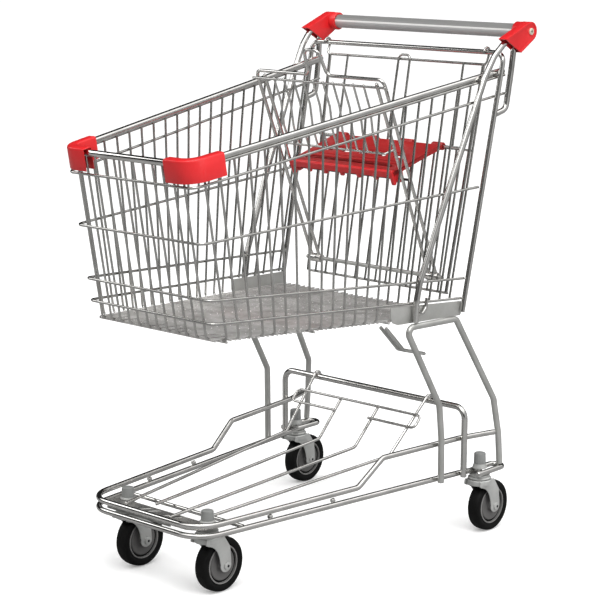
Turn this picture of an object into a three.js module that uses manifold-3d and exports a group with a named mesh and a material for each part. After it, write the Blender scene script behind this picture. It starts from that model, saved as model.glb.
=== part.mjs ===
// A supermarket shopping cart of the child-seat type, in millimetres.
// +Z is up, the nose points to -Y, the handle is at +Y and the cart is symmetric about X = 0.
// The origin lies on the floor, below the middle of the cart's bounding box.

import * as THREE from "three";
import { mergeVertices } from "three/addons/utils/BufferGeometryUtils.js";
import Module from "manifold-3d";

const wasm = await Module();
wasm.setup();

// ---------------------------------------------------------------- driving dimensions

const HANDLE_Y = 394;
const HANDLE_Z = 957;

const WIRE = 4.2; // basket wires, diameter
const RIM_TUBE = 12.5;
const POST = 11.5;
const HOOP_ROD = 9.5;
const RAIL = 10.5;
const LEG = 12;
const RACK_ROD = 5.6;
const GAP = 0.3; // kept between separate pieces
const WELD = 0.6; // how deep two crossing wires of one panel sink into each other

const RIM = { frontY: -399.4, frontZ: 770, rearY: 345.5, slope: 0.155, bend: 32 };
const FRONT_LEAN = 0.18; // the basket's front leans forward this much per millimetre of height
const SIDE = { frontX: 151, flare: 0.103, lowFlare: 0.014 }; // lowFlare is what the flare gains at the floor
const FLOOR = { frontY: -346, rearY: 232, frontZ: 465, fall: 0.0515 };

const RAIL_PLAN = { noseX: 141, noseY: -377, flare: 0.126, bend: 55 };
const UPPER_RAIL_Z = 141;
const LOWER_RAIL_Z = 123;

const WHEEL = { radius: 50, width: 28, facets: 20, hub: 36.5, trail: 28 };
const STEMS = { front: { x: 101.7, y: -317 }, rear: { x: 240, y: 284 } };

const GATE_HINGE = { y: 333, z: 919 };
const GATE_LEAN = THREE.MathUtils.degToRad(10.8);
const BACK_LEAN = THREE.MathUtils.degToRad(23.2);

// ---------------------------------------------------------------- materials

function finish(color, roughness, metalness) {
  return new THREE.MeshStandardMaterial({ color, roughness, metalness });
}

const MATERIAL = {
  chrome: () => finish(0xc9ccd0, 0.18, 1.0),
  satinSteel: () => finish(0x9b9d9c, 0.42, 1.0),
  zinc: () => finish(0xb9c0bd, 0.35, 0.9),
  redPlastic: () => finish(0xd8202a, 0.35, 0.0),
  greyPlastic: () => finish(0x7d7f80, 0.55, 0.0),
  handleGrey: () => finish(0x83878c, 0.38, 0.1),
  hubGrey: () => finish(0x5d6063, 0.5, 0.0),
  rubber: () => finish(0x17181a, 0.7, 0.0),
  brass: () => finish(0xc9b77c, 0.3, 1.0),
};

// ---------------------------------------------------------------- geometry helpers

const v = (x, y, z) => new THREE.Vector3(x, y, z);
const mirrored = (points) => points.map((p) => v(-p.x, p.y, p.z));

// The corners of a bent rod, with each inner corner turned into a short arc of chords.
function bentPoints(corners, bend, chord = 0.5) {
  const points = [corners[0]];
  for (let i = 1; i < corners.length - 1; i += 1) {
    const before = corners[i - 1].clone().sub(corners[i]);
    const after = corners[i + 1].clone().sub(corners[i]);
    const turn = Math.PI - before.angleTo(after);
    const room = 0.49 * Math.min(before.length(), after.length());
    const cut = Math.min(bend * Math.tan(turn / 2), room);
    const start = corners[i].clone().addScaledVector(before.normalize(), cut);
    const end = corners[i].clone().addScaledVector(after.normalize(), cut);
    const arc = new THREE.QuadraticBezierCurve3(start, corners[i], end);
    const chords = Math.max(1, Math.round(turn / chord));
    points.push(...arc.getPoints(chords));
  }
  points.push(corners[corners.length - 1]);
  return points;
}

// A path that goes straight from point to point, so that a rod has rings only where it bends.
class BentPath extends THREE.Curve {
  constructor(points) {
    super();
    this.points = points;
  }

  getPoint(t) {
    return this.points[Math.round(t * (this.points.length - 1))].clone();
  }

  getPointAt(u) {
    return this.getPoint(u);
  }

  getTangentAt(u) {
    const last = this.points.length - 1;
    const i = Math.round(u * last);
    const before = this.points[Math.max(i - 1, 0)];
    const here = this.points[i];
    const after = this.points[Math.min(i + 1, last)];
    const arriving = here.clone().sub(before).normalize();
    const leaving = after.clone().sub(here).normalize();
    return arriving.add(leaving).normalize();
  }
}

// The regular polygon whose area is that of a circle of the given diameter.
function roundSection(diameter, sides) {
  const radius = sectionReach(diameter, sides);
  const shape = new THREE.Shape();
  for (let i = 0; i < sides; i += 1) {
    const angle = (i / sides) * 2 * Math.PI;
    const x = radius * Math.cos(angle);
    const y = radius * Math.sin(angle);
    if (i === 0) shape.moveTo(x, y);
    else shape.lineTo(x, y);
  }
  shape.closePath();
  return shape;
}

function sectionReach(diameter, sides) {
  return (diameter / 2) * Math.sqrt((2 * Math.PI) / (sides * Math.sin((2 * Math.PI) / sides)));
}

function rod(corners, diameter, sides = 6, bend = 0) {
  const points = bend > 0 ? bentPoints(corners, bend) : corners;
  return new THREE.ExtrudeGeometry(roundSection(diameter, sides), {
    steps: points.length - 1,
    extrudePath: new BentPath(points),
  });
}

const wire = (corners, diameter = WIRE, bend = 0) => rod(corners, diameter, 4, bend);
const WIRE_REACH = sectionReach(WIRE, 4);

function box(x0, x1, y0, y1, z0, z1) {
  const geometry = new THREE.BoxGeometry(x1 - x0, y1 - y0, z1 - z0);
  return geometry.translate((x0 + x1) / 2, (y0 + y1) / 2, (z0 + z1) / 2);
}

// A solid of revolution about the Z axis; each profile point is [radius, z].
function turned(profile, segments) {
  return new THREE.LatheGeometry(profile.map(([r, z]) => new THREE.Vector2(r, z)), segments).rotateX(
    Math.PI / 2,
  );
}

// The same, about an axis along X.
function turnedAlongX(profile, segments) {
  const phase = Math.PI / segments;
  return turned(profile, segments).rotateZ(phase).rotateY(Math.PI / 2);
}

function ring(inner, outer, z0, z1) {
  return [
    [inner, z0],
    [outer, z0],
    [outer, z1],
    [inner, z1],
    [inner, z0],
  ];
}

// An outline in the Y-Z plane, extruded along X from x0 to x1.
function extrudedAlongX(shape, x0, x1, curveSegments = 6) {
  const geometry = new THREE.ExtrudeGeometry(shape, {
    depth: x1 - x0,
    bevelEnabled: false,
    curveSegments,
  });
  const place = new THREE.Matrix4().set(0, 0, 1, x0, 1, 0, 0, 0, 0, 1, 0, 0, 0, 0, 0, 1);
  return geometry.applyMatrix4(place);
}

function polygon(points) {
  const shape = new THREE.Shape();
  shape.setFromPoints(points.map(([a, b]) => new THREE.Vector2(a, b)));
  return shape;
}

function solid(geometry) {
  const bare = geometry.clone();
  bare.deleteAttribute("normal");
  bare.deleteAttribute("uv");
  const merged = mergeVertices(bare, 1e-4);
  const mesh = new wasm.Mesh({
    numProp: 3,
    vertProperties: new Float32Array(merged.attributes.position.array),
    triVerts: new Uint32Array(merged.index.array),
  });
  mesh.merge();
  return new wasm.Manifold(mesh);
}

function surface(manifold) {
  const mesh = manifold.getMesh();
  const geometry = new THREE.BufferGeometry();
  geometry.setAttribute("position", new THREE.BufferAttribute(mesh.vertProperties, 3));
  geometry.setIndex(new THREE.BufferAttribute(mesh.triVerts, 1));
  geometry.computeVertexNormals();
  return geometry;
}

function weld(pieces) {
  return surface(pieces.map(solid).reduce((sum, piece) => sum.add(piece)));
}

function cut(body, holes) {
  return surface(holes.map(solid).reduce((rest, hole) => rest.subtract(hole), solid(body)));
}

const cart = new THREE.Group();

function addTo(group, name, geometry, material) {
  const mesh = new THREE.Mesh(geometry, material);
  mesh.name = name;
  group.add(mesh);
  return mesh;
}

const add = (name, geometry, material) => addTo(cart, name, geometry, material);

// One piece for the cart's left (+X) side and its mirror image for the right.
function addPair(name, corners, diameter, sides, bend, material) {
  add(`${name}_left`, rod(corners, diameter, sides, bend), material());
  add(`${name}_right`, rod(mirrored(corners), diameter, sides, bend), material());
}

// ---------------------------------------------------------------- where things are

const rimX = (y) => SIDE.frontX + SIDE.flare * (y - RIM.frontY);
const frontY = (z) => RIM.frontY + FRONT_LEAN * (RIM.frontZ - z);
const rimZ = (y) => RIM.frontZ + RIM.slope * (y - RIM.frontY);
const floorZ = (y) => FLOOR.frontZ - FLOOR.fall * (y - FLOOR.frontY);

// Half the width of the basket's wire cage, which flares a little more near the floor than at the rim.
function wallX(y, z) {
  const drop = (rimZ(y) - z) / (rimZ(y) - floorZ(y));
  const start = frontY(RIM.frontZ - drop * (RIM.frontZ - FLOOR.frontZ));
  return SIDE.frontX + (SIDE.flare + SIDE.lowFlare * drop) * (y - start);
}
const hoopY = (z) => GATE_HINGE.y - 0.21 * (GATE_HINGE.z - z);
const hoopX = (z) => 239.5 - 0.0203 * (GATE_HINGE.z - z);
const railX = (y) => RAIL_PLAN.noseX + RAIL_PLAN.flare * (y - RAIL_PLAN.noseY);
const legSide = sectionReach(RAIL, 8) + sectionReach(LEG, 8) + GAP;

// The basket's horizontal wires, from the one under the rim down to the one above the floor.
const BANDS = [
  { frontZ: 759.5, rearZ: 875, rearY: 341 },
  { frontZ: 732, rearZ: 842.5, rearY: 341 },
  { frontZ: 637, rearZ: 672, rearY: 275 },
  { frontZ: 539, rearZ: 503.5, rearY: 239 },
  { frontZ: 498, rearZ: 466.5, rearY: 231 },
];
const BAND_OUT = 2 * WIRE_REACH - WELD; // bands lie outside the upright wires
const CORNER_BEND = RIM.bend + BAND_OUT;
const CORNER_RUN = 36; // how far the front panel's bands run back along the sides

const bandZ = (band, y) => {
  const y0 = frontY(band.frontZ);
  return band.frontZ + ((band.rearZ - band.frontZ) * (y - y0)) / (band.rearY - y0);
};

// ---------------------------------------------------------------- chassis

function chassis() {
  const steel = MATERIAL.chrome;
  const halfUpper = [
    v(railX(-377), -377, UPPER_RAIL_Z),
    v(railX(-12.8), -12.8, UPPER_RAIL_Z + 3),
    v(railX(47.5), 47.5, 189.6),
    v(railX(243), 243, 192),
    v(241.5, 322.5, 192.6),
  ];
  const upper = [...mirrored(halfUpper).reverse(), ...halfUpper];
  const upperPath = nosePath(upper);
  add("upper_rail", rod(upperPath, RAIL, 8), steel());

  const halfLower = [
    v(railX(-377), -377, LOWER_RAIL_Z),
    v(railX(243), 243, LOWER_RAIL_Z),
    v(STEMS.rear.x - 14, 272, LOWER_RAIL_Z),
    v(STEMS.rear.x - 14, 345, LOWER_RAIL_Z),
    v(STEMS.rear.x + 14, 345, LOWER_RAIL_Z),
    v(STEMS.rear.x + 14, 258, LOWER_RAIL_Z),
  ];
  const lower = [...mirrored(halfLower).reverse(), ...halfLower];
  const spacers = [-220, -74].flatMap((y) => [railX(y), -railX(y)].map((x) => spacer(x, y)));
  add("lower_rail", weld([rod(nosePath(lower), RAIL, 8), ...spacers]), steel());

  add("front_plate", frontPlate(), MATERIAL.satinSteel());
  const crossX = railX(-293) - sectionReach(RAIL, 8) - 1.5;
  add("front_cross_rod", rod([v(-crossX, -293, 123), v(crossX, -293, 123)], 8, 6), steel());

  const hoopFoot = railX(243) + legSide + GAP;
  const hoop = [v(hoopFoot, 244, 117.5), v(hoopFoot + 0.5, 244, 253.3)];
  const hoopPath = bentPoints([...mirrored(hoop), ...hoop.reverse()], 22);
  add("rear_hoop", rod(hoopPath, LEG, 8), MATERIAL.chrome());
}

// The nose's two corners are wide bends; every other corner is a tight one.
function nosePath(corners) {
  const middle = corners.length / 2;
  const nose = bentPoints(corners.slice(middle - 2, middle + 2), RAIL_PLAN.bend).slice(1, -1);
  const before = bentPoints([...corners.slice(0, middle - 1), nose[0]], 14);
  const after = bentPoints([nose[nose.length - 1], ...corners.slice(middle + 1)], 14);
  return [...before, ...nose.slice(1, -1), ...after];
}

// A stub that stands on the lower rail and carries the upper one.
function spacer(x, y) {
  const reach = sectionReach(RAIL, 8) + GAP;
  const top = UPPER_RAIL_Z + (y - RAIL_PLAN.noseY) * 0.0082;
  return box(x - 3, x + 3, y - 5, y + 5, LOWER_RAIL_Z, top - reach);
}

function frontPlate() {
  const outline = polygon([
    [-128, -350],
    [128, -350],
    [134, -303],
    [-134, -303],
  ]);
  for (const side of [-1, 1]) {
    const hole = new THREE.Path();
    hole.absarc(side * STEMS.front.x, STEMS.front.y, 6, 0, 2 * Math.PI);
    outline.holes.push(hole);
  }
  const plate = new THREE.ExtrudeGeometry(outline, { depth: 2.5, bevelEnabled: false, curveSegments: 8 });
  return plate.translate(0, 0, 129.5);
}

// ---------------------------------------------------------------- legs and posts

function legsAndPosts() {
  const frontFoot = railX(184) + legSide;
  const leg = [
    v(frontFoot, 184, 118),
    v(frontFoot, 183, 205),
    v(221.5, 179, 269),
    v(215, 84, 431),
    v(221, 225, 428),
    v(239.5, 324, 258.6),
    v(247.5, 331, 190),
    v(251.5, 331.5, 129.6),
  ];
  addPair("leg_frame", leg, LEG, 8, 13, MATERIAL.satinSteel);

  const postA = [
    v(244, 371, 955),
    v(243.5, 330, 940),
    v(239, 303, 915),
    v(235.5, 282, 880),
    v(227.5, 185, 671),
    v(219.5, 118.5, 514),
    v(218.3, 110, 478),
    v(217.5, 109, 438.2),
  ];
  addPair("front_post", postA, POST, 8, 26, MATERIAL.chrome);

  const postB = [
    v(244, 374, 940),
    v(243.3, 357.5, 929),
    v(241.5, 353, 886),
    v(239.5, 341, 809),
    v(237.9, 317.4, 803),
  ];
  addPair("rear_post", postB, POST, 8, 14, MATERIAL.chrome);

  const half = [v(hoopX(441), hoopY(441), 441), v(hoopX(919), GATE_HINGE.y, GATE_HINGE.z)];
  const hoop = bentPoints([...mirrored(half), ...half.reverse()], 18);
  add("gate_hoop", rod(hoop, HOOP_ROD, 8), MATERIAL.chrome());

  for (const [side, sign] of [
    ["left", 1],
    ["right", -1],
  ]) {
    add(`side_plate_${side}`, sidePlate(sign), MATERIAL.zinc());
    add(`nest_hook_${side}`, nestHook(sign), MATERIAL.satinSteel());
  }
}

function sidePlate(sign) {
  const outline = polygon([
    [50, 439.8],
    [231, 436.7],
    [231, 461.2],
    [32, 472.5],
    [32, 447],
  ]);
  const flare = SIDE.flare + SIDE.lowFlare;
  const slant = new THREE.Matrix4().makeShear(0, 0, sign * flare, 0, 0, 0);
  const plate = extrudedAlongX(outline, -1, 1).applyMatrix4(slant);
  return plate.translate(sign * (wallX(0, 455) + 3), 0, 0);
}

function nestHook(sign) {
  const inner = [v(174, 61, 431), v(176, 110, 382), v(178, 186, 361)];
  const outer = inner.map((p) => v(p.x + 13, p.y, p.z)).reverse();
  const corners = [...inner, ...outer];
  return rod(sign > 0 ? corners : mirrored(corners), 6.5, 6, 6);
}

// ---------------------------------------------------------------- handle

function handle() {
  const barEnd = 234;
  const bar = new THREE.CylinderGeometry(13.3, 13.3, 2 * barEnd, 16).rotateZ(Math.PI / 2);
  add("handle_bar", bar.translate(0, HANDLE_Y, HANDLE_Z), MATERIAL.handleGrey());
  for (const [side, sign] of [
    ["left", 1],
    ["right", -1],
  ]) {
    const bracket = handleBracket();
    const screw = turnedAlongX(
      [
        [0, 256.3],
        [6.5, 256.3],
        [6.5, 257.5],
        [4.5, 259],
        [0, 259],
      ],
      12,
    ).translate(0, HANDLE_Y, HANDLE_Z);
    if (sign < 0) {
      mirrorX(bracket);
      mirrorX(screw);
    }
    add(`handle_bracket_${side}`, bracket, MATERIAL.redPlastic());
    add(`handle_screw_${side}`, screw, MATERIAL.brass());
  }
}

function mirrorX(geometry) {
  geometry.scale(-1, 1, 1);
  const index = geometry.index.array;
  for (let i = 0; i < index.length; i += 3) {
    [index[i], index[i + 1]] = [index[i + 1], index[i]];
  }
  return geometry;
}

// The outline of the bracket seen from the side, shrunk by the given wall thickness.
function bracketOutline(wall, mouth) {
  const radius = 18 - wall;
  const low = THREE.MathUtils.degToRad(-60);
  const high = THREE.MathUtils.degToRad(112);
  const shape = new THREE.Shape();
  shape.moveTo(364 - 0.5 * wall - 0.86 * mouth, 919 + 0.87 * wall - 0.5 * mouth);
  shape.absarc(HANDLE_Y, HANDLE_Z, radius, low, high, false);
  shape.lineTo(309 + 0.37 * wall - 0.93 * mouth, 943 - 0.93 * wall - 0.37 * mouth);
  shape.closePath();
  return shape;
}

function handleBracket() {
  const tongue = extrudedAlongX(bracketOutline(0, 0), 233, 256);
  const collar = turnedAlongX(ring(14.2, 17.5, 212, 236), 20).translate(0, HANDLE_Y, HANDLE_Z);
  const cavity = extrudedAlongX(bracketOutline(2.4, 12), 235.4, 253.6);
  const socket = turnedAlongX(
    [
      [0, 205],
      [14.2, 205],
      [14.2, 240],
      [0, 240],
    ],
    20,
  ).translate(0, HANDLE_Y, HANDLE_Z);
  return cut(weld([tongue, collar]), [cavity, socket]);
}

// ---------------------------------------------------------------- basket

function basket() {
  const steel = MATERIAL.chrome;
  const rimHalf = [
    v(rimX(RIM.frontY), RIM.frontY, RIM.frontZ),
    v(rimX(RIM.rearY), RIM.rearY, rimZ(RIM.rearY)),
  ];
  const rimPath = bentPoints([...mirrored(rimHalf).reverse(), ...rimHalf], RIM.bend);
  add("basket_rim", rod(rimPath, RIM_TUBE, 8), steel());
  add("basket_side_left", basketSide(1), steel());
  add("basket_side_right", basketSide(-1), steel());
  add("basket_front", basketFront(), steel());
  add("basket_floor", basketFloor(), steel());
  add("corner_bumper_left", cornerBumper(1), MATERIAL.redPlastic());
  add("corner_bumper_right", cornerBumper(-1), MATERIAL.redPlastic());
}

const SIDE_UPRIGHTS = 21;

function basketSide(sign) {
  const wires = [];
  const place = (out, y, z) => v(sign * (wallX(y, z) + out), y, z);
  for (let i = 0; i < SIDE_UPRIGHTS; i += 1) {
    const top = -357 + 32.5 * i;
    const bottom = -308 + 25.7 * i;
    const overPlate = bottom > 30;
    const low = overPlate ? bandZ(BANDS[4], bottom) - 3 : floorZ(bottom) + 5.5;
    const high = rimZ(top) - sectionReach(RIM_TUBE, 8) - GAP - 1;
    wires.push(wire([place(0, bottom, low), place(0, top, high)]));
  }
  for (const band of BANDS) {
    const start = frontY(band.frontZ) + CORNER_RUN + 4 * GAP;
    const run = [place(BAND_OUT, start, bandZ(band, start)), place(BAND_OUT, band.rearY, band.rearZ)];
    wires.push(wire(run));
  }
  return weld(wires);
}

const FRONT_UPRIGHTS = 12;

function basketFront() {
  const wires = [];
  for (let i = 0; i < FRONT_UPRIGHTS; i += 1) {
    const x = -130 + (260 * i) / (FRONT_UPRIGHTS - 1);
    const high = RIM.frontZ - sectionReach(RIM_TUBE, 8) - GAP - 1;
    const low = FLOOR.frontZ + 7;
    wires.push(wire([v(x, frontY(low), low), v(x, frontY(high), high)]));
  }
  for (const band of BANDS) {
    const y = frontY(band.frontZ) - BAND_OUT;
    const end = frontY(band.frontZ) + CORNER_RUN;
    const endZ = bandZ(band, end);
    const half = [
      v(wallX(y, band.frontZ) + BAND_OUT, y, band.frontZ),
      v(wallX(end, endZ) + BAND_OUT, end, endZ),
    ];
    wires.push(wire([...mirrored(half).reverse(), ...half], WIRE, CORNER_BEND));
  }
  return weld(wires);
}

function basketFloor() {
  const wires = [];
  const cross = 9;
  const lengthwise = 7;
  const edge = (y) => wallX(y, floorZ(y)) - 6;
  for (let i = 0; i < cross; i += 1) {
    const y = FLOOR.frontY + 8 + ((FLOOR.rearY - FLOOR.frontY - 16) * i) / (cross - 1);
    wires.push(wire([v(-edge(y) - 2, y, floorZ(y)), v(edge(y) + 2, y, floorZ(y))]));
  }
  const below = BAND_OUT;
  for (let i = 0; i < lengthwise; i += 1) {
    const x = 120 * ((2 * i) / (lengthwise - 1) - 1);
    wires.push(lengthwiseWire(() => x, below));
  }
  wires.push(lengthwiseWire(edge, below));
  wires.push(lengthwiseWire((y) => -edge(y), below));
  return weld(wires);
}

function lengthwiseWire(xAt, below) {
  const ends = [FLOOR.frontY + 4, FLOOR.rearY - 2];
  return wire(ends.map((y) => v(xAt(y), y, floorZ(y) - below)));
}

// A sleeve that is open below, bent round the rim's front corner and leaning with the basket.
function cornerBumper(sign) {
  const sleeve = cornerBand(-9.3, 11.4, 0, 40);
  const channel = cornerBand(-7.4, 9.9, -1, 37.6);
  const shape = cut(sleeve, [channel]);
  const shear = new THREE.Matrix4().set(
    ...[1, 0, 0, 0],
    ...[0, 1, -FRONT_LEAN, 0],
    ...[0, RIM.slope, 1, 0],
    ...[0, 0, 0, 1],
  );
  shape.translate(0, -RIM.frontY, 0).applyMatrix4(shear);
  shape.translate(0, RIM.frontY, RIM.frontZ - 30.5).translate(0, FRONT_LEAN * 30.5, 0);
  return sign > 0 ? shape : mirrorX(shape);
}

// The plan of a band that follows the rim's corner between two offsets, extruded upwards.
function cornerBand(inside, outside, z0, z1) {
  const endX = channelEnd(93, inside, -1);
  const endY = channelEnd(RIM.frontY + 66, inside, 1);
  const outer = cornerLine(outside, endX, endY);
  const inner = cornerLine(inside, endX, endY).reverse();
  const shape = new THREE.Shape().setFromPoints([...outer, ...inner]);
  const band = new THREE.ExtrudeGeometry(shape, { depth: z1 - z0, bevelEnabled: false });
  return band.translate(0, 0, z0);
}

// The channel runs out through both ends of the sleeve.
const channelEnd = (at, inside, way) => (inside > -8 ? at + way : at);

function cornerLine(offset, endX, endY) {
  const front = RIM.frontY - offset;
  const side = (y) => rimX(y) + offset;
  const corner = v(side(front), front, 0);
  const corners = [v(endX, front, 0), corner, v(side(endY), endY, 0)];
  const line = bentPoints(corners, RIM.bend + offset, 0.25);
  return line.map((p) => new THREE.Vector2(p.x, p.y));
}

// ---------------------------------------------------------------- gate, seat back and seat

const HOOK_RADIUS = sectionReach(HOOP_ROD, 8) + 1 + sectionReach(5, 6);
const GATE_SET_BACK = 4;
const PIVOT_DROP = 431; // from the hinge bar down to the seat back's pivot
const SEAT_DROP = 184; // from the hinge bar down to the seat's rear pivot
const PIVOT_OUT = 11.5; // how far the two pivots stand in front of the gate's grid
const SEAT_OUT = 12.5;
const ROD_REACH = sectionReach(6.5, 6);

// A point of the gate: x, the distance down from its hinge, and how far it stands forward.
function onGate(x, down, forward) {
  const f = forward - GATE_SET_BACK;
  const y = GATE_HINGE.y - Math.sin(GATE_LEAN) * down - Math.cos(GATE_LEAN) * f;
  const z = GATE_HINGE.z - Math.cos(GATE_LEAN) * down + Math.sin(GATE_LEAN) * f;
  return v(x, y, z);
}

const gateHalf = (down) => 193 - 0.037 * down;

function gate() {
  const steel = MATERIAL.chrome;
  const rods = [];
  const topDown = 23;
  const seatDown = 186;
  const lowDown = 459;
  for (const sign of [-1, 1]) {
    const edge = (down) => onGate(sign * gateHalf(down), down, 0);
    rods.push(rod([edge(topDown), edge(lowDown)], 6.5, 6));
    rods.push(gateHook(sign * (gateHalf(topDown) + 7), sign * gateHalf(topDown), topDown));
    rods.push(wire([onGate(sign * 150, topDown, 0), onGate(sign * 150, seatDown + 2, 0)]));
    rods.push(wire([onGate(sign * 14, topDown - 2, 0), onGate(sign * 14, seatDown + 2, 0)]));
  }
  const crossings = [
    [topDown, 5],
    [seatDown, WIRE],
    [lowDown, 5],
  ];
  for (const [down, diameter] of crossings) {
    const behind = -(sectionReach(diameter, 4) + WIRE_REACH - WELD);
    const half = gateHalf(down) + 1.5;
    rods.push(wire([onGate(-half, down, behind), onGate(half, down, behind)], diameter));
  }
  const uprights = 13;
  for (let i = 0; i < uprights; i += 1) {
    const x = -156 + (312 * i) / (uprights - 1);
    rods.push(wire([onGate(x, seatDown - 2, 0), onGate(x, lowDown + 2, 0)]));
  }
  add("gate_panel", weld(rods), steel());

  const barHalf = gateHalf(PIVOT_DROP) - ROD_REACH - GAP;
  const bar = [-barHalf, barHalf].map((x) => onGate(x, PIVOT_DROP, PIVOT_OUT));
  add("seat_back_pivot_bar", rod(bar, 8, 8), MATERIAL.satinSteel());
  const axleHalf = gateHalf(SEAT_DROP) - ROD_REACH - GAP;
  const axle = [-axleHalf, axleHalf].map((x) => onGate(x, SEAT_DROP, SEAT_OUT));
  add("seat_axle", rod(axle, 5, 6), steel());
}

// A hook that rises from the gate's corner and passes over the hinge bar.
function gateHook(x, foot, down) {
  const points = [onGate(foot, down + 4, 0), onGate(x, down - 4, 0)];
  for (let i = 0; i <= 6; i += 1) {
    const angle = THREE.MathUtils.degToRad(-10 + 33 * i);
    const y = GATE_HINGE.y + HOOK_RADIUS * Math.cos(angle);
    const z = GATE_HINGE.z + HOOK_RADIUS * Math.sin(angle);
    points.push(v(x, y, z));
  }
  return rod(points, 5, 6);
}

const PIVOT = onGate(0, PIVOT_DROP, PIVOT_OUT);
const SEAT_AXLE = onGate(0, SEAT_DROP, SEAT_OUT);

// A point of the seat back: x, the distance up from its pivot, and how far it stands forward.
function onBack(x, up, forward) {
  const y = PIVOT.y - Math.sin(BACK_LEAN) * up - Math.cos(BACK_LEAN) * forward;
  const z = PIVOT.z + Math.cos(BACK_LEAN) * up - Math.sin(BACK_LEAN) * forward;
  return v(x, y, z);
}

function seatBack() {
  const pieces = [];
  const frame = 6.5;
  const layer = sectionReach(frame, 6) + WIRE_REACH - WELD;
  const hookOut = 15;
  const low = 266;
  const high = 400;
  for (const sign of [-1, 1]) {
    const hairpin = [
      onBack(sign * 158, 8, 0),
      onBack(sign * 158, 412, 0),
      onBack(sign * 138.5, 412, 0),
      onBack(sign * 138.5, 8, 0),
    ];
    pieces.push(rod(hairpin, frame, 6, 9.5));
    const eye = turnedAlongX(ring(4.9, 8.2, -14, 14), 8);
    pieces.push(eye.translate(sign * 148.5, PIVOT.y, PIVOT.z));
  }
  const uprights = 10;
  const spacing = 24.7;
  for (let i = 0; i < uprights; i += 1) {
    const x = spacing * (i - (uprights - 1) / 2);
    const upright = [
      onBack(x, low - 3, hookOut),
      onBack(x, low + 44, hookOut),
      onBack(x, low + 88, layer),
      onBack(x, high + 3, layer),
    ];
    pieces.push(wire(upright));
  }
  const top = layer + 2 * WIRE_REACH - WELD;
  const bottom = hookOut + 2 * WIRE_REACH - WELD;
  pieces.push(wire([onBack(-160, high, layer), onBack(160, high, layer)], 5));
  const lowWire = [
    onBack(-140, low, 0),
    onBack(-132, low, bottom),
    onBack(132, low, bottom),
    onBack(140, low, 0),
  ];
  pieces.push(wire(lowWire));
  const hump = [
    onBack(-32, high - 4, top - 1),
    onBack(-26, high + 46, top - 1),
    onBack(26, high + 46, top - 1),
    onBack(32, high - 4, top - 1),
  ];
  pieces.push(rod(hump, 5, 6, 16));
  add("seat_back", weld(pieces), MATERIAL.chrome());
}

const SEAT_LENGTH = 132;
const SEAT_FALL = THREE.MathUtils.degToRad(16.2);

function seat() {
  const plateLow = 3.4;
  const plateHigh = 6;
  const lip = SEAT_LENGTH + 5.3;
  const outline = polygon([
    [-7.5, -1],
    [-5.5, -6],
    [0, -7.6],
    [5.5, -6],
    [8, plateLow],
    [lip - 2.1, plateLow],
    [lip - 2.1, -9],
    [lip, -9],
    [lip, plateHigh - 2],
    [lip - 2, plateHigh],
    [6, plateHigh],
    [0, plateHigh + 0.5],
    [-5.5, 5.5],
  ]);
  const bore = new THREE.Path();
  bore.absarc(0, 0, sectionReach(5, 6) + 0.5, 0, 2 * Math.PI);
  outline.holes.push(bore);
  const plate = extrudedAlongX(outline, -133, 133, 5);
  const frontRod = rod([v(-134.5, SEAT_LENGTH, 0), v(134.5, SEAT_LENGTH, 0)], 5, 6);
  for (const geometry of [plate, frontRod]) {
    geometry.rotateZ(Math.PI).rotateX(SEAT_FALL).translate(0, SEAT_AXLE.y, SEAT_AXLE.z);
  }
  add("seat_plate", plate, MATERIAL.redPlastic());
  add("seat_front_rod", frontRod, finish(0x2a2a2c, 0.4, 0.8));
}

// ---------------------------------------------------------------- lower rack

function lowerRack() {
  const pivot = { y: 244, z: 253.3 };
  const hookRadius = sectionReach(LEG, 8) + 0.5 + sectionReach(RACK_ROD, 6);
  const slope = 1.01;
  const kink = { y: 141, z: 162 };
  const rise = (x, y) => v(x, y, kink.z + slope * (y - kink.y));
  const pieces = [];
  for (const sign of [-1, 1]) {
    const outer = [v(sign * 84, -335, 135.4), v(sign * 133, kink.y, kink.z), rise(sign * 143, 232)];
    for (let i = 0; i <= 6; i += 1) {
      const angle = THREE.MathUtils.degToRad(150 - 32 * i);
      const y = pivot.y + hookRadius * Math.cos(angle);
      const z = pivot.z + hookRadius * Math.sin(angle);
      outer.push(v(sign * 144, y, z));
    }
    pieces.push(rod(outer, RACK_ROD, 6));
    const inner = [v(sign * 37, -335, 135.4), v(sign * 46, kink.y, kink.z), rise(sign * 48, 207)];
    pieces.push(rod(inner, RACK_ROD, 6));
  }
  const under = 2 * sectionReach(RACK_ROD, 6) - WELD;
  const lift = (p) => p.add(v(0, -0.71 * under, 0.71 * under));
  const half = [rise(158, 207), rise(158, 187), rise(46, 187)].map(lift);
  const loop = [...mirrored(half).reverse(), ...half];
  pieces.push(rod(loop, RACK_ROD, 6, 9));
  add("lower_rack", weld(pieces), MATERIAL.chrome());
}

// ---------------------------------------------------------------- casters

const CROWN = { top: 108, sheet: 2.5, half: 17.5 };
const STEM_TOP = { front: 147, rear: 154 };
const CAP_TOP = { front: 154, rear: 162 };
const SEAT_TOP = { front: 132.3, rear: 129.4 }; // top of the plate or hairpin the stem clamps

function forkLeg(x0, x1) {
  const shape = new THREE.Shape();
  shape.moveTo(-21, CROWN.top);
  shape.lineTo(-23, 96);
  shape.quadraticCurveTo(8, 92, WHEEL.trail - 12, WHEEL.radius);
  shape.absarc(WHEEL.trail, WHEEL.radius, 12, Math.PI, 2 * Math.PI, false);
  shape.lineTo(WHEEL.trail + 9, 84);
  shape.lineTo(21, CROWN.top);
  shape.closePath();
  return extrudedAlongX(shape, x0, x1, 4);
}

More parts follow.
